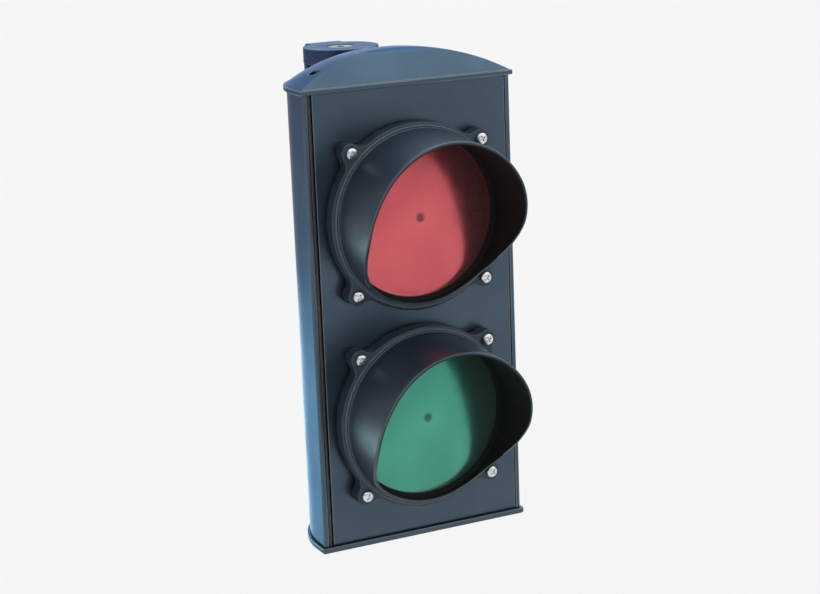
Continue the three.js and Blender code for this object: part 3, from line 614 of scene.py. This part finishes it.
def housing():
    """Housing with its screw ports, the webs that hold them and the holes in its back wall."""
    low, high = -TUCK, PANEL_HEIGHT + TUCK
    body = prism("housing", housing_section(), low, high)
    added, holes = [], []
    web = 1.2
    for side in SIDES.values():
        for where, (px, py) in PORTS.items():
            x = side * px
            added.append(prism("port", circle(PORT["boss"], x, py, 32), low, high))
            holes.append(prism("bore", circle(PORT["bore"], x, py, 24), low - 1, high + 1))
            if where == "front":
                ends = sorted((x, side * (HALF_WIDTH - WALL / 2)))
                added.append(box("web", ends, (py - web, py + web), (low, high)))
            else:
                added.append(box("web", (x - web, x + web), (py, DEPTH - WALL * 1.5), (low, high)))
        for end in ENDS.values():
            z = MID_Z + end * ARM_SCREW["offset"]
            spot = circle(ARM_SCREW["hole"], side * ARM_SCREW["x"], z, 24)
            holes.append(prism("hole", spot, DEPTH / 2, DEPTH + 1, "Y"))
    entry = circle(GLAND["thread"] + GAP, 0, GLAND_Z, 48)
    holes.append(prism("hole", entry, DEPTH / 2, DEPTH + 1, "Y"))
    return crisp(carved(joined(body, *added), *holes))


def screw_square(z):
    """Centres of the four screws about a lamp whose middle is at height z."""
    o = SCREW_OFFSET
    return {
        "top_left": (-o, z + o),
        "top_right": (o, z + o),
        "bottom_right": (o, z - o),
        "bottom_left": (-o, z - o),
    }


PANEL = {"left": 72.6, "right": 76.25, "thick": 3}


def front_panel():
    """Sliding panel: flat face with eased long edges and a hooked leg along each side."""
    thick = PANEL["thick"]
    leg_in, leg_out, toe, toe_front, back = 68, 70.5, 75, 9.2, 11.5
    screw_hole = 2.6

    def half(edge, ease):
        return [
            (edge - ease, 0),
            (edge - ease * 0.3, ease * 0.3),
            (edge, ease),
            (edge, thick),
            (leg_out, thick),
            (leg_out, toe_front),
            (toe, toe_front),
            (toe, back),
            (leg_in, back),
            (leg_in, thick),
        ]

    left = [(-x, y) for x, y in reversed(half(PANEL["left"], 0.5))]
    body = prism("panel", half(PANEL["right"], 0.12) + left, -TUCK, PANEL_HEIGHT + TUCK)
    holes = []
    for lamp in LAMPS:
        z = lamp_height(lamp)
        holes.append(prism("hole", circle(PANEL_OPENING, 0, z, 128), -1, thick + 1, "Y"))
        for x, sz in screw_square(z).values():
            holes.append(prism("hole", circle(screw_hole, x, sz, 24), -1, thick + 1, "Y"))
    return crisp(carved(body, *holes))


def left_panel_seal():
    """Rubber cord in the left groove beside the panel, its bead rising between panel and ridge."""
    inner, outer, front, back = 71.3, 76.0, 3.3, 5.7
    bead_in, bead_out, bead_front = 72.95, 76.1, 0.4
    middle, reach = (bead_in + bead_out) / 2, (bead_out - bead_in) / 2
    steps = 10
    outline = [(inner, back), (inner, front), (bead_in, front)]
    for i in range(steps + 1):
        a = math.pi * i / steps
        outline.append((middle - reach * math.cos(a), bead_front + reach * (1 - math.sin(a))))
    outline += [(bead_out, front), (outer, back)]
    return prism("seal", [(-x, y) for x, y in outline], -TUCK, PANEL_HEIGHT + TUCK)


def outline_row(grow, z, scale=1.0):
    """The outline as a row of points at one height, scaled about the top of the crown."""
    return [(x * scale, CROWN_Y + (y - CROWN_Y) * scale, z) for x, y in plan_outline(grow)]


def top_cap():
    """Domed cap with a rounded lip, a socket over the housing and four deep screw pockets."""
    lip_top = PANEL_HEIGHT + CAP_LIP
    over = CAP_OVERHANG
    dome_rows, ledge = 28, 1.3
    rows = []
    for i in range(1, dome_rows + 1):
        s = math.sin(math.pi / 2 * i / dome_rows)
        rows.append(outline_row(over - ledge, lip_top + CROWN * (1 - s**CROWN_POWER), s))
    for grow, z in (
        (-0.4, lip_top - 0.03),
        (-0.12, lip_top - 0.12),
        (0.0, lip_top - 0.4),
        (0.0, PANEL_HEIGHT + 0.5),
        (-0.15, PANEL_HEIGHT + 0.15),
        (-0.5, PANEL_HEIGHT),
    ):
        rows.append(outline_row(over + grow, z))
    rows.append(outline_row(GAP, PANEL_HEIGHT))
    rows.append(outline_row(GAP, CAP_SEAT))
    body = skin("top_cap", rows, ((0, CROWN_Y, lip_top + CROWN), (0, CROWN_Y, CAP_SEAT)))
    tools = []
    for side in SIDES.values():
        for x, y in PORTS.values():
            pocket = circle(PORT["pocket"], side * x, y)
            bore = circle(PORT["clearance"], side * x, y, 24)
            tools.append(prism("pocket", pocket, SCREW_SEAT, lip_top + CROWN))
            tools.append(prism("bore", bore, PANEL_HEIGHT, SCREW_SEAT + 1))
    return crisp(carved(body, *tools))


def bottom_cap():
    """Flat base cap with rounded edges."""
    low = -BOTTOM_THICK
    over = BOTTOM_OVERHANG
    seat = -3
    rows = [
        outline_row(GAP, seat),
        outline_row(GAP, 0),
        outline_row(over - 0.4, 0),
        outline_row(over - 0.1, -0.1),
        outline_row(over, -0.4),
        outline_row(over, low + 1.4),
        outline_row(over - 0.3, low + 0.6),
        outline_row(over - 0.9, low + 0.12),
        outline_row(over - 1.6, low),
    ]
    return skin("bottom_cap", rows, ((0, CROWN_Y, seat), (0, CROWN_Y, low)))


# ---- lamp pieces -----------------------------------------------------------------------------
FLANGE = {"front": -12, "plate": -9, "back": -1.8, "r": 66.8, "inner": 64.6}
EAR = {"r": 7, "fillet": 9}
HOOD = {"base": 62.5, "step": 64.6, "rim": 60, "wall": 2.4, "lip": 57.8, "reach": 67}
# Height above the lamp's middle, and the depth of the hood's edge there.
HOOD_EDGE = [
    (-68, -14.6),
    (-58, -15.4),
    (-46, -19),
    (-33, -30),
    (-21, -42),
    (0, -57),
    (30, -65.5),
    (50, -67),
    (68, -67),
]


def monotone(points):
    """Smooth interpolation through (u, v) points that never overshoots them."""
    slopes = [(b[1] - a[1]) / (b[0] - a[0]) for a, b in zip(points, points[1:])]
    tangents = [slopes[0]]
    for a, b in zip(slopes, slopes[1:]):
        tangents.append(0.0 if a * b <= 0 else 2 * a * b / (a + b))
    tangents.append(slopes[-1])

    def value(u):
        u = min(max(u, points[0][0]), points[-1][0])
        i = max(k for k in range(len(points) - 1) if points[k][0] <= u)
        width = points[i + 1][0] - points[i][0]
        t = (u - points[i][0]) / width
        rise = points[i + 1][1] - points[i][1]
        a = tangents[i] * width - rise
        b = -tangents[i + 1] * width + rise
        return points[i][1] + t * rise + t * (1 - t) * ((1 - t) * a + t * b)

    return value


hood_reach = monotone(HOOD_EDGE)


def ring_radius(angle):
    """Outer radius of the lamp ring: a circle with four ears on fillets."""
    distance = SCREW_OFFSET * math.sqrt(2)
    quarter = math.pi / 2
    off = abs(angle % quarter - quarter / 2)
    r0, r1, f = FLANGE["r"], EAR["r"], EAR["fillet"]
    far = r0 + f
    turn = math.acos((far**2 + distance**2 - (r1 + f) ** 2) / (2 * distance * far))
    if off >= turn:
        return r0
    cx, cy = far * math.cos(turn), far * math.sin(turn)
    share = r1 / (r1 + f)
    touch = math.atan2(cy * share, distance + (cx - distance) * share)
    if off <= touch:
        return distance * math.cos(off) + math.sqrt(r1**2 - (distance * math.sin(off)) ** 2)
    return far * math.cos(turn - off) - math.sqrt(f**2 - (far * math.sin(turn - off)) ** 2)


def hood_radius(y):
    """Outside radius of the tapered hood at a depth."""
    start = FLANGE["front"] - 2.8
    share = (y - start) / (-HOOD["reach"] - 1 - start)
    return HOOD["base"] + (HOOD["rim"] - HOOD["base"]) * max(share, 0.0)


def visor_profile(angle):
    """(radius, depth) loop of the visor at one angle round the lamp."""
    front, plate, back = FLANGE["front"], FLANGE["plate"], FLANGE["back"]
    wall = HOOD["wall"]
    rise = math.sin(angle)
    outer_end = inner_end = -40.0  # a first guess, improved three times
    for _ in range(3):
        outer_end = hood_reach(hood_radius(outer_end) * rise)
        inner_end = hood_reach((hood_radius(inner_end) - wall) * rise)
    ease = 0.75
    r_out, r_in = hood_radius(outer_end), hood_radius(inner_end) - wall
    outer = ring_radius(angle)
    inner_ring = FLANGE["inner"]
    loop = [
        (HOOD["lip"], plate),
        (inner_ring, plate),
        (inner_ring, back),
        (outer - 0.2, back),
        (outer, back - 0.25),
        (outer, front + 1.2),
        (outer - 0.16, front + 0.6),
        (outer - 0.6, front + 0.16),
        (outer - 1.2, front),
        (HOOD["step"] + 0.25, front),
        (HOOD["step"], front - 0.2),
        (HOOD["step"], front - 1.15),
        (HOOD["step"] - 0.25, front - 1.4),
        (HOOD["base"] + 0.5, front - 1.4),
    ]
    start = outer_end + ease
    rows = 16
    first = max(front - 1.8, start)
    for i in range(rows + 1):
        y = first + (start - first) * i / rows
        loop.append((hood_radius(y) + (0.12 if i == 0 else 0), y))
    loop += [
        (r_out - 0.22, outer_end + 0.22),
        (r_out - ease, outer_end),
        (r_in + ease, inner_end),
        (r_in + 0.22, inner_end + 0.22),
    ]
    base_in = HOOD["base"] - wall
    first = inner_end + ease
    for i in range(rows + 1):
        y = first + (front - first) * i / rows
        loop.append((min(hood_radius(y) - wall, base_in), y))
    loop += [
        (HOOD["lip"] + 0.7, front + 0.45),
        (HOOD["lip"], front + 1.1),
    ]
    return loop


def visor(name, outside, inside):
    """Lamp ring with its hood; the faces turned to the light path are matt black."""
    steps = 300
    inward_cosine = 0.3
    columns = []
    for i in range(steps):
        a = 2 * math.pi * i / steps
        columns.append([AXES["Y"](r, y, a) for r, y in visor_profile(a)])
    mesh = skin(name, columns, joined=True, sharp=40)
    mesh.materials.append(outside)
    mesh.materials.append(inside)
    hollow = HOOD["base"] - HOOD["wall"]
    for face in mesh.polygons:
        centre, normal = face.center, face.normal
        distance = math.hypot(centre.x, centre.z)  # from the lamp's axis
        inward = centre.x * normal.x + centre.z * normal.z < -inward_cosine * distance
        lip = distance < hollow and centre.y > FLANGE["front"] - 1
        face.material_index = int((inward or lip) and centre.y < FLANGE["plate"])
    return mesh


def lens(name):
    """Shallow dome with its flange, a boss behind and the sunken gate mark in front."""
    front, rise, dome, wall, flange = -8.7, 4, 57.3, 2.6, 63
    mark_deep, mark_r = 0.45, 3.6
    boss_r, boss_out = 3.5, 4

    def sag(r, inset=0.0):
        mark = mark_deep * max(0.0, 1 - (r / mark_r) ** 2) if inset == 0 else 0.0
        return front + inset - rise * (1 - (r / dome) ** 2) + mark

    fine = [0, 0.8, 1.6, 2.4, 3.0, mark_r, 4.4] + [dome * (0.1 + 0.9 * i / 26) for i in range(27)]
    profile = [(r, sag(r)) for r in fine]
    profile += [(flange - 0.3, front), (flange, front + 0.3), (flange, front + 3), (dome, front + 3)]
    profile += [(dome * (1 - i / 16), sag(dome * (1 - i / 16), wall)) for i in range(16)]
    foot, end = sag(boss_r, wall), sag(0, wall) + boss_out
    profile += [(boss_r, foot), (boss_r, end - 0.4), (boss_r - 0.4, end), (0, end)]
    return turned(name, profile, 144)


# ---- fasteners -------------------------------------------------------------------------------
def cross_recess(size, depth):
    """Tapered cross that is cut into a screw head, mouth towards -Y."""
    blades = []
    slim = size * 0.2
    for long_x in (True, False):
        half, thin = (size, slim) if long_x else (slim, size)
        mouth = [(-half, -thin), (half, -thin), (half, thin), (-half, thin)]
        foot = [(u * 0.55, v * 0.8) if long_x else (u * 0.8, v * 0.55) for u, v in mouth]
        rows = [[(u, y, v) for u, v in ring] for ring, y in ((mouth, -9), (mouth, 0), (foot, depth))]
        build = bmesh.new()
        made = [[build.verts.new(p) for p in row] for row in rows]
        for a, b in zip(made, made[1:]):
            for i in range(4):
                build.faces.new((a[i], a[(i + 1) % 4], b[(i + 1) % 4], b[i]))
        build.faces.new(made[0])
        build.faces.new(made[-1])
        blades.append(finish_mesh(build, "blade"))
    return joined(*blades)


def thread(radius, depth, pitch, start, end):
    """Zigzag of (radius, height) points along a screw thread."""
    points = []
    at = start
    while at < end:
        points += [(radius, at), (radius - depth, at + pitch / 2)]
        at += pitch
    return points


def pan_screw(name, head, height, shank, length):
    """Pan-head machine screw with a cross recess, seat at Y = 0 and head towards -Y."""
    crown = [
        (head * math.sin(math.pi / 2 * t), -height * (0.52 + 0.48 * math.cos(math.pi / 2 * t)))
        for t in [i / 12 for i in range(13)]
    ]
    crown[0] = (0, -height)
    profile = crown + [(head, -0.25), (head - 0.2, 0), (shank, 0)]
    profile += thread(shank, depth=0.3, pitch=0.7, start=1.5, end=length - 2)
    profile += [(shank, length - 1.2), (shank - 0.8, length - 0.2), (0, length)]
    body = turned(name, profile, 40)
    recess = cross_recess(head * 0.58, height * 0.62)
    for vert in recess.vertices:
        vert.co.y -= height
    return carved(body, recess)


def hexagon(radius):
    """Corners of a hexagon with this radius over its corners."""
    return circle(radius, steps=6)


def hex_block(name, radius, low, high, both=False):
    """Hexagon prism with the turned chamfer of a real nut or bolt head."""
    drop = radius * 0.1
    flat = radius * 0.9
    bottom = [(flat, low), (radius * 1.01, low + drop)] if both else [(radius * 1.01, low)]
    top = [(radius * 1.01, high - drop), (flat, high)]
    turned_block = turned("limit", [(0, low)] + bottom + top + [(0, high)], 72, "Z")
    block = prism(name, hexagon(radius), low - 1, high + 1)
    return common(block, turned_block)


PIVOT = {"r": 5, "bore": 5.5, "hex": 9.8, "nut": 8, "head": 9.4, "sunk": 0.4, "cone": 4.4}
SOCKET = {"r": 3.5, "deep": 3.6}
EAR_INNER, EAR_OUTER = 168.5, 179.8
RING_THICK = 2.7
WASHER = {"r": 12, "thick": 1.6}
ARM_OUTER = EAR_INNER - RING_THICK - 2 * GAP
ARM_INNER = ARM_OUTER - 12.7
NUT_SEAT = ARM_INNER - WASHER["thick"] - 2 * GAP
FOOT_THICK = 6


def pivot_bolt(name):
    """Countersunk socket bolt flush in the upper ear, measured up from the middle of the head."""
    top = EAR_OUTER - PIVOT["sunk"]
    tip = NUT_SEAT - PIVOT["nut"] - 2
    r = PIVOT["r"]
    profile = [(0, tip), (r - 0.8, tip)]
    profile += thread(r, depth=0.5, pitch=1.25, start=tip + 0.8, end=ARM_INNER)
    profile += [(r, ARM_INNER + 1.5), (r, top - PIVOT["cone"]), (PIVOT["head"], top - 0.3)]
    profile += [(PIVOT["head"] - 0.25, top), (0, top)]
    body = turned(name, profile, 72, "Z")
    socket = prism("socket", hexagon(SOCKET["r"]), top - SOCKET["deep"], top + 1)
    return carved(body, socket)


def pivot_nut(name):
    """Hexagon nut, measured up from the middle of the head."""
    low, high = NUT_SEAT - PIVOT["nut"], NUT_SEAT
    block = hex_block(name, PIVOT["hex"], low, high, both=True)
    return carved(block, prism("bore", circle(PIVOT["r"] + GAP), low - 1, high + 1))


def pivot_washer(name):
    """Washer with eased edges, measured up from the middle of the head."""
    high = ARM_INNER - GAP
    low = high - WASHER["thick"]
    r, bore, ease = WASHER["r"], PIVOT["r"] + GAP, 0.25
    profile = [
        (bore, low),
        (r - ease, low),
        (r, low + ease),
        (r, high - ease),
        (r - ease, high),
        (bore + ease, high),
        (bore, high - ease),
    ]
    return turned(name, profile, 80, "Z")


def serrated_ring(name):
    """Toothed locking ring between the arm and the bracket's ear."""
    teeth, inner, outer, depth = 60, 6, 22, 0.55
    low, high = ARM_OUTER + GAP, EAR_INNER - GAP
    per_tooth = 4
    count = teeth * per_tooth
    rows = []
    for i in range(count):
        a = 2 * math.pi * i / count
        cut = depth * abs((i % per_tooth) / (per_tooth / 2) - 1)
        loop = [
            (inner, low + 0.2),
            (inner + 1.2, low + cut * 0.3),
            (outer, low + cut),
            (outer, high - cut),
            (inner + 1.2, high - cut * 0.3),
            (inner, high - 0.2),
        ]
        rows.append([AXES["Z"](r, z, a) for r, z in loop])
    return skin(name, rows, joined=True, sharp=25)


# ---- bracket and arms --------------------------------------------------------------------------
def arc(cx, cy, radius, start, end):
    """Points of a circle's arc between two angles in degrees."""
    steps = 10
    points = []
    for i in range(steps + 1):
        a = math.radians(start + (end - start) * i / steps)
        points.append((cx + radius * math.cos(a), cy + radius * math.sin(a)))
    return points


def sink(end, swivel_y):
    """Countersink for the pivot bolt in one ear."""
    wide = PIVOT["head"] + 2 * GAP
    top = EAR_OUTER - PIVOT["sunk"]
    profile = [
        (0, top - PIVOT["cone"]),
        (PIVOT["bore"], top - PIVOT["cone"]),
        (wide, top),
        (wide, EAR_OUTER + 1),
        (0, EAR_OUTER + 1),
    ]
    cone = turned("sink", [(r, MID_Z + end * h) for r, h in profile], 96, "Z")
    cone.transform(Matrix.Translation((0, swivel_y, 0)))
    return cone


def wall_bracket(swivel_y):
    """C-shaped flat bar with round ears about the swivel axis and two wall bolt holes."""
    wall_y, thick, half, ear, bolt_r, bolt_at = 150, 8, 13, 28, 4.5, 100
    outer, inner = 8, 6
    top, low = MID_Z + EAR_OUTER, MID_Z - EAR_OUTER
    front = wall_y - thick
    side = [(swivel_y, top)]
    side += arc(wall_y - outer, top - outer, outer, 90, 0)
    side += arc(wall_y - outer, low + outer, outer, 0, -90)
    side += [(swivel_y, low), (swivel_y, low + thick)]
    side += arc(front - inner, low + thick + inner, inner, -90, 0)
    side += arc(front - inner, top - thick - inner, inner, 0, 90)
    side += [(swivel_y, top - thick)]
    bar = prism("wall_bracket", side, -half, half, "X")
    ears, holes = [], []
    for end in ENDS.values():
        z = sorted(MID_Z + end * h for h in (EAR_INNER, EAR_OUTER))
        ears.append(prism("ear", circle(ear, 0, swivel_y, 96), z[0], z[1]))
        holes.append(prism("bore", circle(PIVOT["bore"], 0, swivel_y), z[0] - 1, z[1] + 1))
        holes.append(sink(end, swivel_y))
        spot = circle(bolt_r, 0, MID_Z + end * bolt_at)
        holes.append(prism("hole", spot, front - 1, wall_y + 1, "Y"))
    return eased(carved(joined(bar, *ears), *holes), width=1.1)


def swivel_arm(name, swivel_y):
    """Upper arm, measured up from the middle of the head: foot, hub, neck and rib."""
    foot_front, foot_back = DEPTH + GAP, DEPTH + GAP + FOOT_THICK
    foot_low, foot_high = 121.5, 161.5
    foot_half, hub_r, neck_half, rib_half = 22, 26, 14, 3
    foot = box(name, (-foot_half, foot_half), (foot_front, foot_back), (foot_low, foot_high))
    hub = prism("hub", circle(hub_r, 0, swivel_y, 96), ARM_INNER, ARM_OUTER)
    neck_y = (foot_back - 1, swivel_y)
    neck = box("neck", (-neck_half, neck_half), neck_y, (ARM_INNER, foot_high))
    rib_outline = [
        (foot_back - 1, foot_low + 4),
        (foot_back - 1, ARM_INNER + 1),
        (swivel_y - neck_half, ARM_INNER + 1),
    ]
    rib = prism("rib", rib_outline, -rib_half, rib_half, "X")
    holes = []
    for side in SIDES.values():
        spot = circle(ARM_SCREW["hole"], side * ARM_SCREW["x"], ARM_SCREW["offset"], 24)
        holes.append(prism("hole", spot, DEPTH, foot_back + 1, "Y"))
    bore = circle(PIVOT["bore"], 0, swivel_y)
    holes.append(prism("bore", bore, ARM_INNER - 1, ARM_OUTER + 1))
    return eased(carved(joined(foot, hub, neck, rib), *holes), width=0.7)


# ---- cable gland -------------------------------------------------------------------------------
GLAND = {"bore": 6.4, "thread": 8, "hex": 12, "inside": 66, "back": 85.3, "outside": 93}


def along_y(mesh):
    """Turns a mesh drawn about Z so that its axis is Y."""
    mesh.transform(Matrix.Rotation(-math.pi / 2, 4, "X"))
    return mesh


def gland_body(name):
    """Threaded barrel through the back wall with its hexagon flange outside."""
    face = DEPTH + GAP
    r, pitch = GLAND["thread"], 1.5
    profile = [(GLAND["bore"], GLAND["inside"]), (r - 0.6, GLAND["inside"])]
    start, end = GLAND["inside"] + 0.6, GLAND["outside"] - pitch
    profile += thread(r, depth=0.45, pitch=pitch, start=start, end=end)
    profile += [(r - 0.4, GLAND["outside"]), (GLAND["bore"], GLAND["outside"])]
    barrel = turned(name, profile, 48)
    flange = along_y(hex_block("flange", GLAND["hex"], face, GLAND["back"]))
    bore = prism("bore", circle(r - 0.5), face - 1, GLAND["back"] + 1, "Y")
    return joined(barrel, carved(flange, bore))


def gland_dome_nut(name):
    """Dome nut with grip flutes: (radius, depth, share of the flute) points round the axis."""
    start = GLAND["back"] + GAP
    inner = GLAND["thread"] + GAP
    flutes, flute_deep, steps = 12, 0.7, 144
    profile = [
        (inner, start, 0),
        (11.1, start, 0.3),
        (11.4, start + 0.4, 1),
        (11.4, start + 7.2, 1),
        (11.1, start + 8.2, 0.7),
        (10.3, start + 10.6, 0.2),
        (9.0, start + 12.4, 0),
        (7.2, start + 13.2, 0),
        (5.4, start + 13.5, 0),
        (5.0, start + 13.1, 0),
        (5.0, GLAND["outside"] + 3.5, 0),
        (inner, GLAND["outside"] + 0.6, 0),
    ]
    rows = []
    for i in range(steps):
        a = 2 * math.pi * i / steps
        dip = flute_deep * max(0.0, math.cos(flutes * a)) ** 2
        rows.append([AXES["Y"](r - share * dip, y, a) for r, y, share in profile])
    return skin(name, rows, joined=True)


# ---- assembly ----------------------------------------------------------------------------------
def build_head(mats):
    for node, make, slot in (
        ("housing_shell", housing, "painted_aluminium"),
        ("front_panel", front_panel, "painted_aluminium"),
        ("panel_seal_left", left_panel_seal, "rubber"),
        ("top_cap", top_cap, "painted_aluminium"),
        ("bottom_cap", bottom_cap, "painted_aluminium"),
    ):
        add(mats, node, make(), "head", slot)


def build_cap_screws(mats):
    screw = pan_screw("cap_screw", head=3.8, height=2.4, shank=1.9, length=18)
    levels = (
        ("top", SCREW_SEAT + GAP, Matrix.Rotation(-math.pi / 2, 4, "X")),
        ("bottom", -BOTTOM_THICK - GAP, Matrix.Rotation(math.pi / 2, 4, "X")),
    )
    for side_name, side in SIDES.items():
        for where, (x, y) in PORTS.items():
            for level, z, turn in levels:
                node = f"{level}_cap_screw_{where}_{side_name}"
                twist = Matrix.Rotation(x + 3 * y + z, 4, "Y")
                add(mats, node, screw, "head", "stainless", (side * x, y, z), turn @ twist)


def build_lamps(mats):
    hood = visor("visor", mats["visor_plastic"], mats["hood_inside"])
    screw = pan_screw("visor_screw", head=4, height=2.6, shank=1.75, length=21.5)
    for lamp in LAMPS:
        z = lamp_height(lamp)
        add(mats, f"{lamp}_visor", hood, "head", "visor_plastic", (0, 0, z))
        add(mats, f"{lamp}_lens", lens(f"{lamp}_lens_dome"), "head", f"{lamp}_lens", (0, 0, z))
        for i, (corner, (x, sz)) in enumerate(screw_square(z).items()):
            node = f"{lamp}_visor_screw_{corner}"
            seat = (x, FLANGE["front"] - GAP, sz)
            twist = Matrix.Rotation(0.5 + 1.3 * i + z, 4, "Y")
            add(mats, node, screw, "head", "stainless", seat, twist)


def build_gland(mats):
    for node, make in (("gland_body", gland_body), ("gland_dome_nut", gland_dome_nut)):
        add(mats, node, make(node), "head", "gland_plastic", (0, 0, GLAND_Z))


def build_swivels(mats):
    """Bracket, and both swivels: the lower one is the upper one turned over."""
    swivel_y = axis_depth()
    add(mats, "wall_bracket", wall_bracket(swivel_y), "bracket", "bracket_paint")
    makers = {
        "serrated_ring": serrated_ring,
        "pivot_washer": pivot_washer,
        "pivot_bolt": pivot_bolt,
        "pivot_nut": pivot_nut,
    }
    parts = {part: make(part) for part, make in makers.items()}
    arm = swivel_arm("swivel_arm", swivel_y)
    screw = pan_screw("arm_screw", head=4.6, height=3, shank=2.4, length=14)
    for level, end in ENDS.items():
        flip = Matrix.Identity(4) if end > 0 else Matrix.Rotation(math.pi, 4, "Y")
        for part, mesh in parts.items():
            place = (0, swivel_y, MID_Z)
            add(mats, f"{level}_{part}", mesh, "bracket", "yellow_zinc", place, flip)
        add(mats, f"{level}_swivel_arm", arm, "head", "bracket_paint", (0, 0, MID_Z), flip)
        for side_name, side in SIDES.items():
            node = f"{level}_arm_screw_{side_name}"
            height = MID_Z + end * ARM_SCREW["offset"]
            seat = (side * ARM_SCREW["x"], DEPTH + 2 * GAP + FOOT_THICK, height)
            turn = Matrix.Rotation(math.pi, 4, "Z") @ Matrix.Rotation(side + end, 4, "Y")
            add(mats, node, screw, "head", "stainless", seat, turn)


CARRIED = {
    "rubber": ["panel_seal_right", "top_cap_gasket", "bottom_cap_gasket", "gland_seal"],
    "terminal": ["terminal_block"],
    "gland_plastic": ["gland_locknut"],
}
CARRIED_PER_LAMP = {
    "rubber": ["visor_gasket", "lens_seal"],
    "bowl": ["reflector"],
    "board": ["led_board"],
    "lead": ["lamp_lead"],
}


def dress_carried_nodes(mats):
    """Better materials for the CAD nodes that stay as they are."""
    plan = {node: key for key, nodes in CARRIED.items() for node in nodes}
    for key, nodes in CARRIED_PER_LAMP.items():
        plan.update({f"{lamp}_{node}": key for lamp in LAMPS for node in nodes})
    dress = {key: for_metres(mats[key]) for key in sorted(set(plan.values()))}
    for node, key in plan.items():
        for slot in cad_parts[node].material_slots:
            slot.material = dress[key]


# ---- stage, light and camera, in metres and degrees ----------------------------------------------
FLOOR_DROP = 0.35
FLOOR_SIZE = 60.0
CAMERA_PLACE = (-0.5975, -1.3800, 0.3480)
CAMERA_YAW, CAMERA_PITCH, CAMERA_ROLL = 25.7455, 13.8446, 2.2807
CAMERA_LENS = 86.96
CAMERA_SENSOR = 36.0


def floor():
    """Pale floor some way below the object, wide enough to fill the camera's view."""
    build = bmesh.new()
    bmesh.ops.create_grid(build, x_segments=8, y_segments=8, size=FLOOR_SIZE / 2)
    mesh = finish_mesh(build, "floor")
    obj = linked("floor", mesh)
    obj.location = (0, 0, CAD_LOW.z - FLOOR_DROP)
    material, tree, bsdf = shader("pale_floor", 0.9, Specular_IOR_Level=0.0)
    tone = ramp(tree, noise(tree, 3.0, 2), ((0.3, (0.895,) * 3), (0.7, (0.905,) * 3)))
    tree.links.new(tone, bsdf.inputs["Base Color"])
    mesh.materials.append(material)


def reflection_card(name, place, aim, size, radiance, colour):
    """Soft box that adds no diffuse light and isn't seen itself: it shows in gloss alone."""
    data = bpy.data.lights.new(name, "AREA")
    data.shape = "RECTANGLE"
    data.size, data.size_y = size
    data.energy = radiance * math.pi * size[0] * size[1]
    data.color = colour
    obj = linked(name, data)
    obj.location = place
    obj.rotation_euler = (Vector(aim) - Vector(place)).to_track_quat("-Z", "Y").to_euler()
    obj.visible_camera = False
    obj.visible_diffuse = False


REFLECTION_CARDS = {
    "back_low": {
        "place": (-0.2, 0.75, -0.48),
        "aim": (0, 0, -0.1),
        "size": (1.5, 0.55),
        "radiance": 2.6,
        "colour": (0.5, 0.95, 1.0),
    },
    "back_top": {
        "place": (0.6, 1.6, 1.0),
        "aim": (0, 0, 0),
        "size": (4.0, 1.8),
        "radiance": 1.2,
        "colour": (0.5, 0.75, 1.0),
    },
    "overhead_card": {
        "place": (0.3, -0.1, 1.6),
        "aim": (0, -0.1, 0),
        "size": (3.0, 3.0),
        "radiance": 0.55,
        "colour": (0.5, 0.8, 1.0),
    },
}


def sun_light(name, aim, strength, angle, colour):
    """Wide soft sun from overhead."""
    data = bpy.data.lights.new(name, "SUN")
    data.color = colour
    data.energy = strength
    data.angle = math.radians(angle)
    obj = linked(name, data)
    obj.rotation_euler = Vector(aim).to_track_quat("-Z", "Y").to_euler()


def lighting():
    """Pale even world, one soft sun and the cards."""
    world = bpy.data.worlds.new("studio")
    bpy.context.scene.world = world
    world.use_nodes = True
    back = next(n for n in world.node_tree.nodes if n.type == "BACKGROUND")
    back.inputs["Color"].default_value = (0.88, 0.94, 1.0, 1)
    back.inputs["Strength"].default_value = 0.55
    aim = (-0.3, 0.3, -1.0)
    sun_light("overhead", aim, strength=1.85, angle=120, colour=(1.0, 0.94, 0.88))
    for name, card in REFLECTION_CARDS.items():
        reflection_card(name, **card)


def camera():
    """Camera at the photograph's viewing angle."""
    data = bpy.data.cameras.new("camera")
    data.lens = CAMERA_LENS
    data.sensor_width = CAMERA_SENSOR
    data.clip_start, data.clip_end = 0.05, 200
    obj = linked("camera", data)
    turn = (
        Matrix.Rotation(math.radians(-CAMERA_YAW), 4, "Z")
        @ Matrix.Rotation(math.radians(90 - CAMERA_PITCH), 4, "X")
        @ Matrix.Rotation(math.radians(-CAMERA_ROLL), 4, "Z")
    )
    obj.matrix_world = Matrix.Translation(CAMERA_PLACE) @ turn
    bpy.context.scene.camera = obj
    bpy.context.scene.view_settings.view_transform = "Standard"


camera()
materials = make_materials()
build_head(materials)
build_cap_screws(materials)
build_lamps(materials)
build_gland(materials)
build_swivels(materials)
dress_carried_nodes(materials)
floor()
lighting()
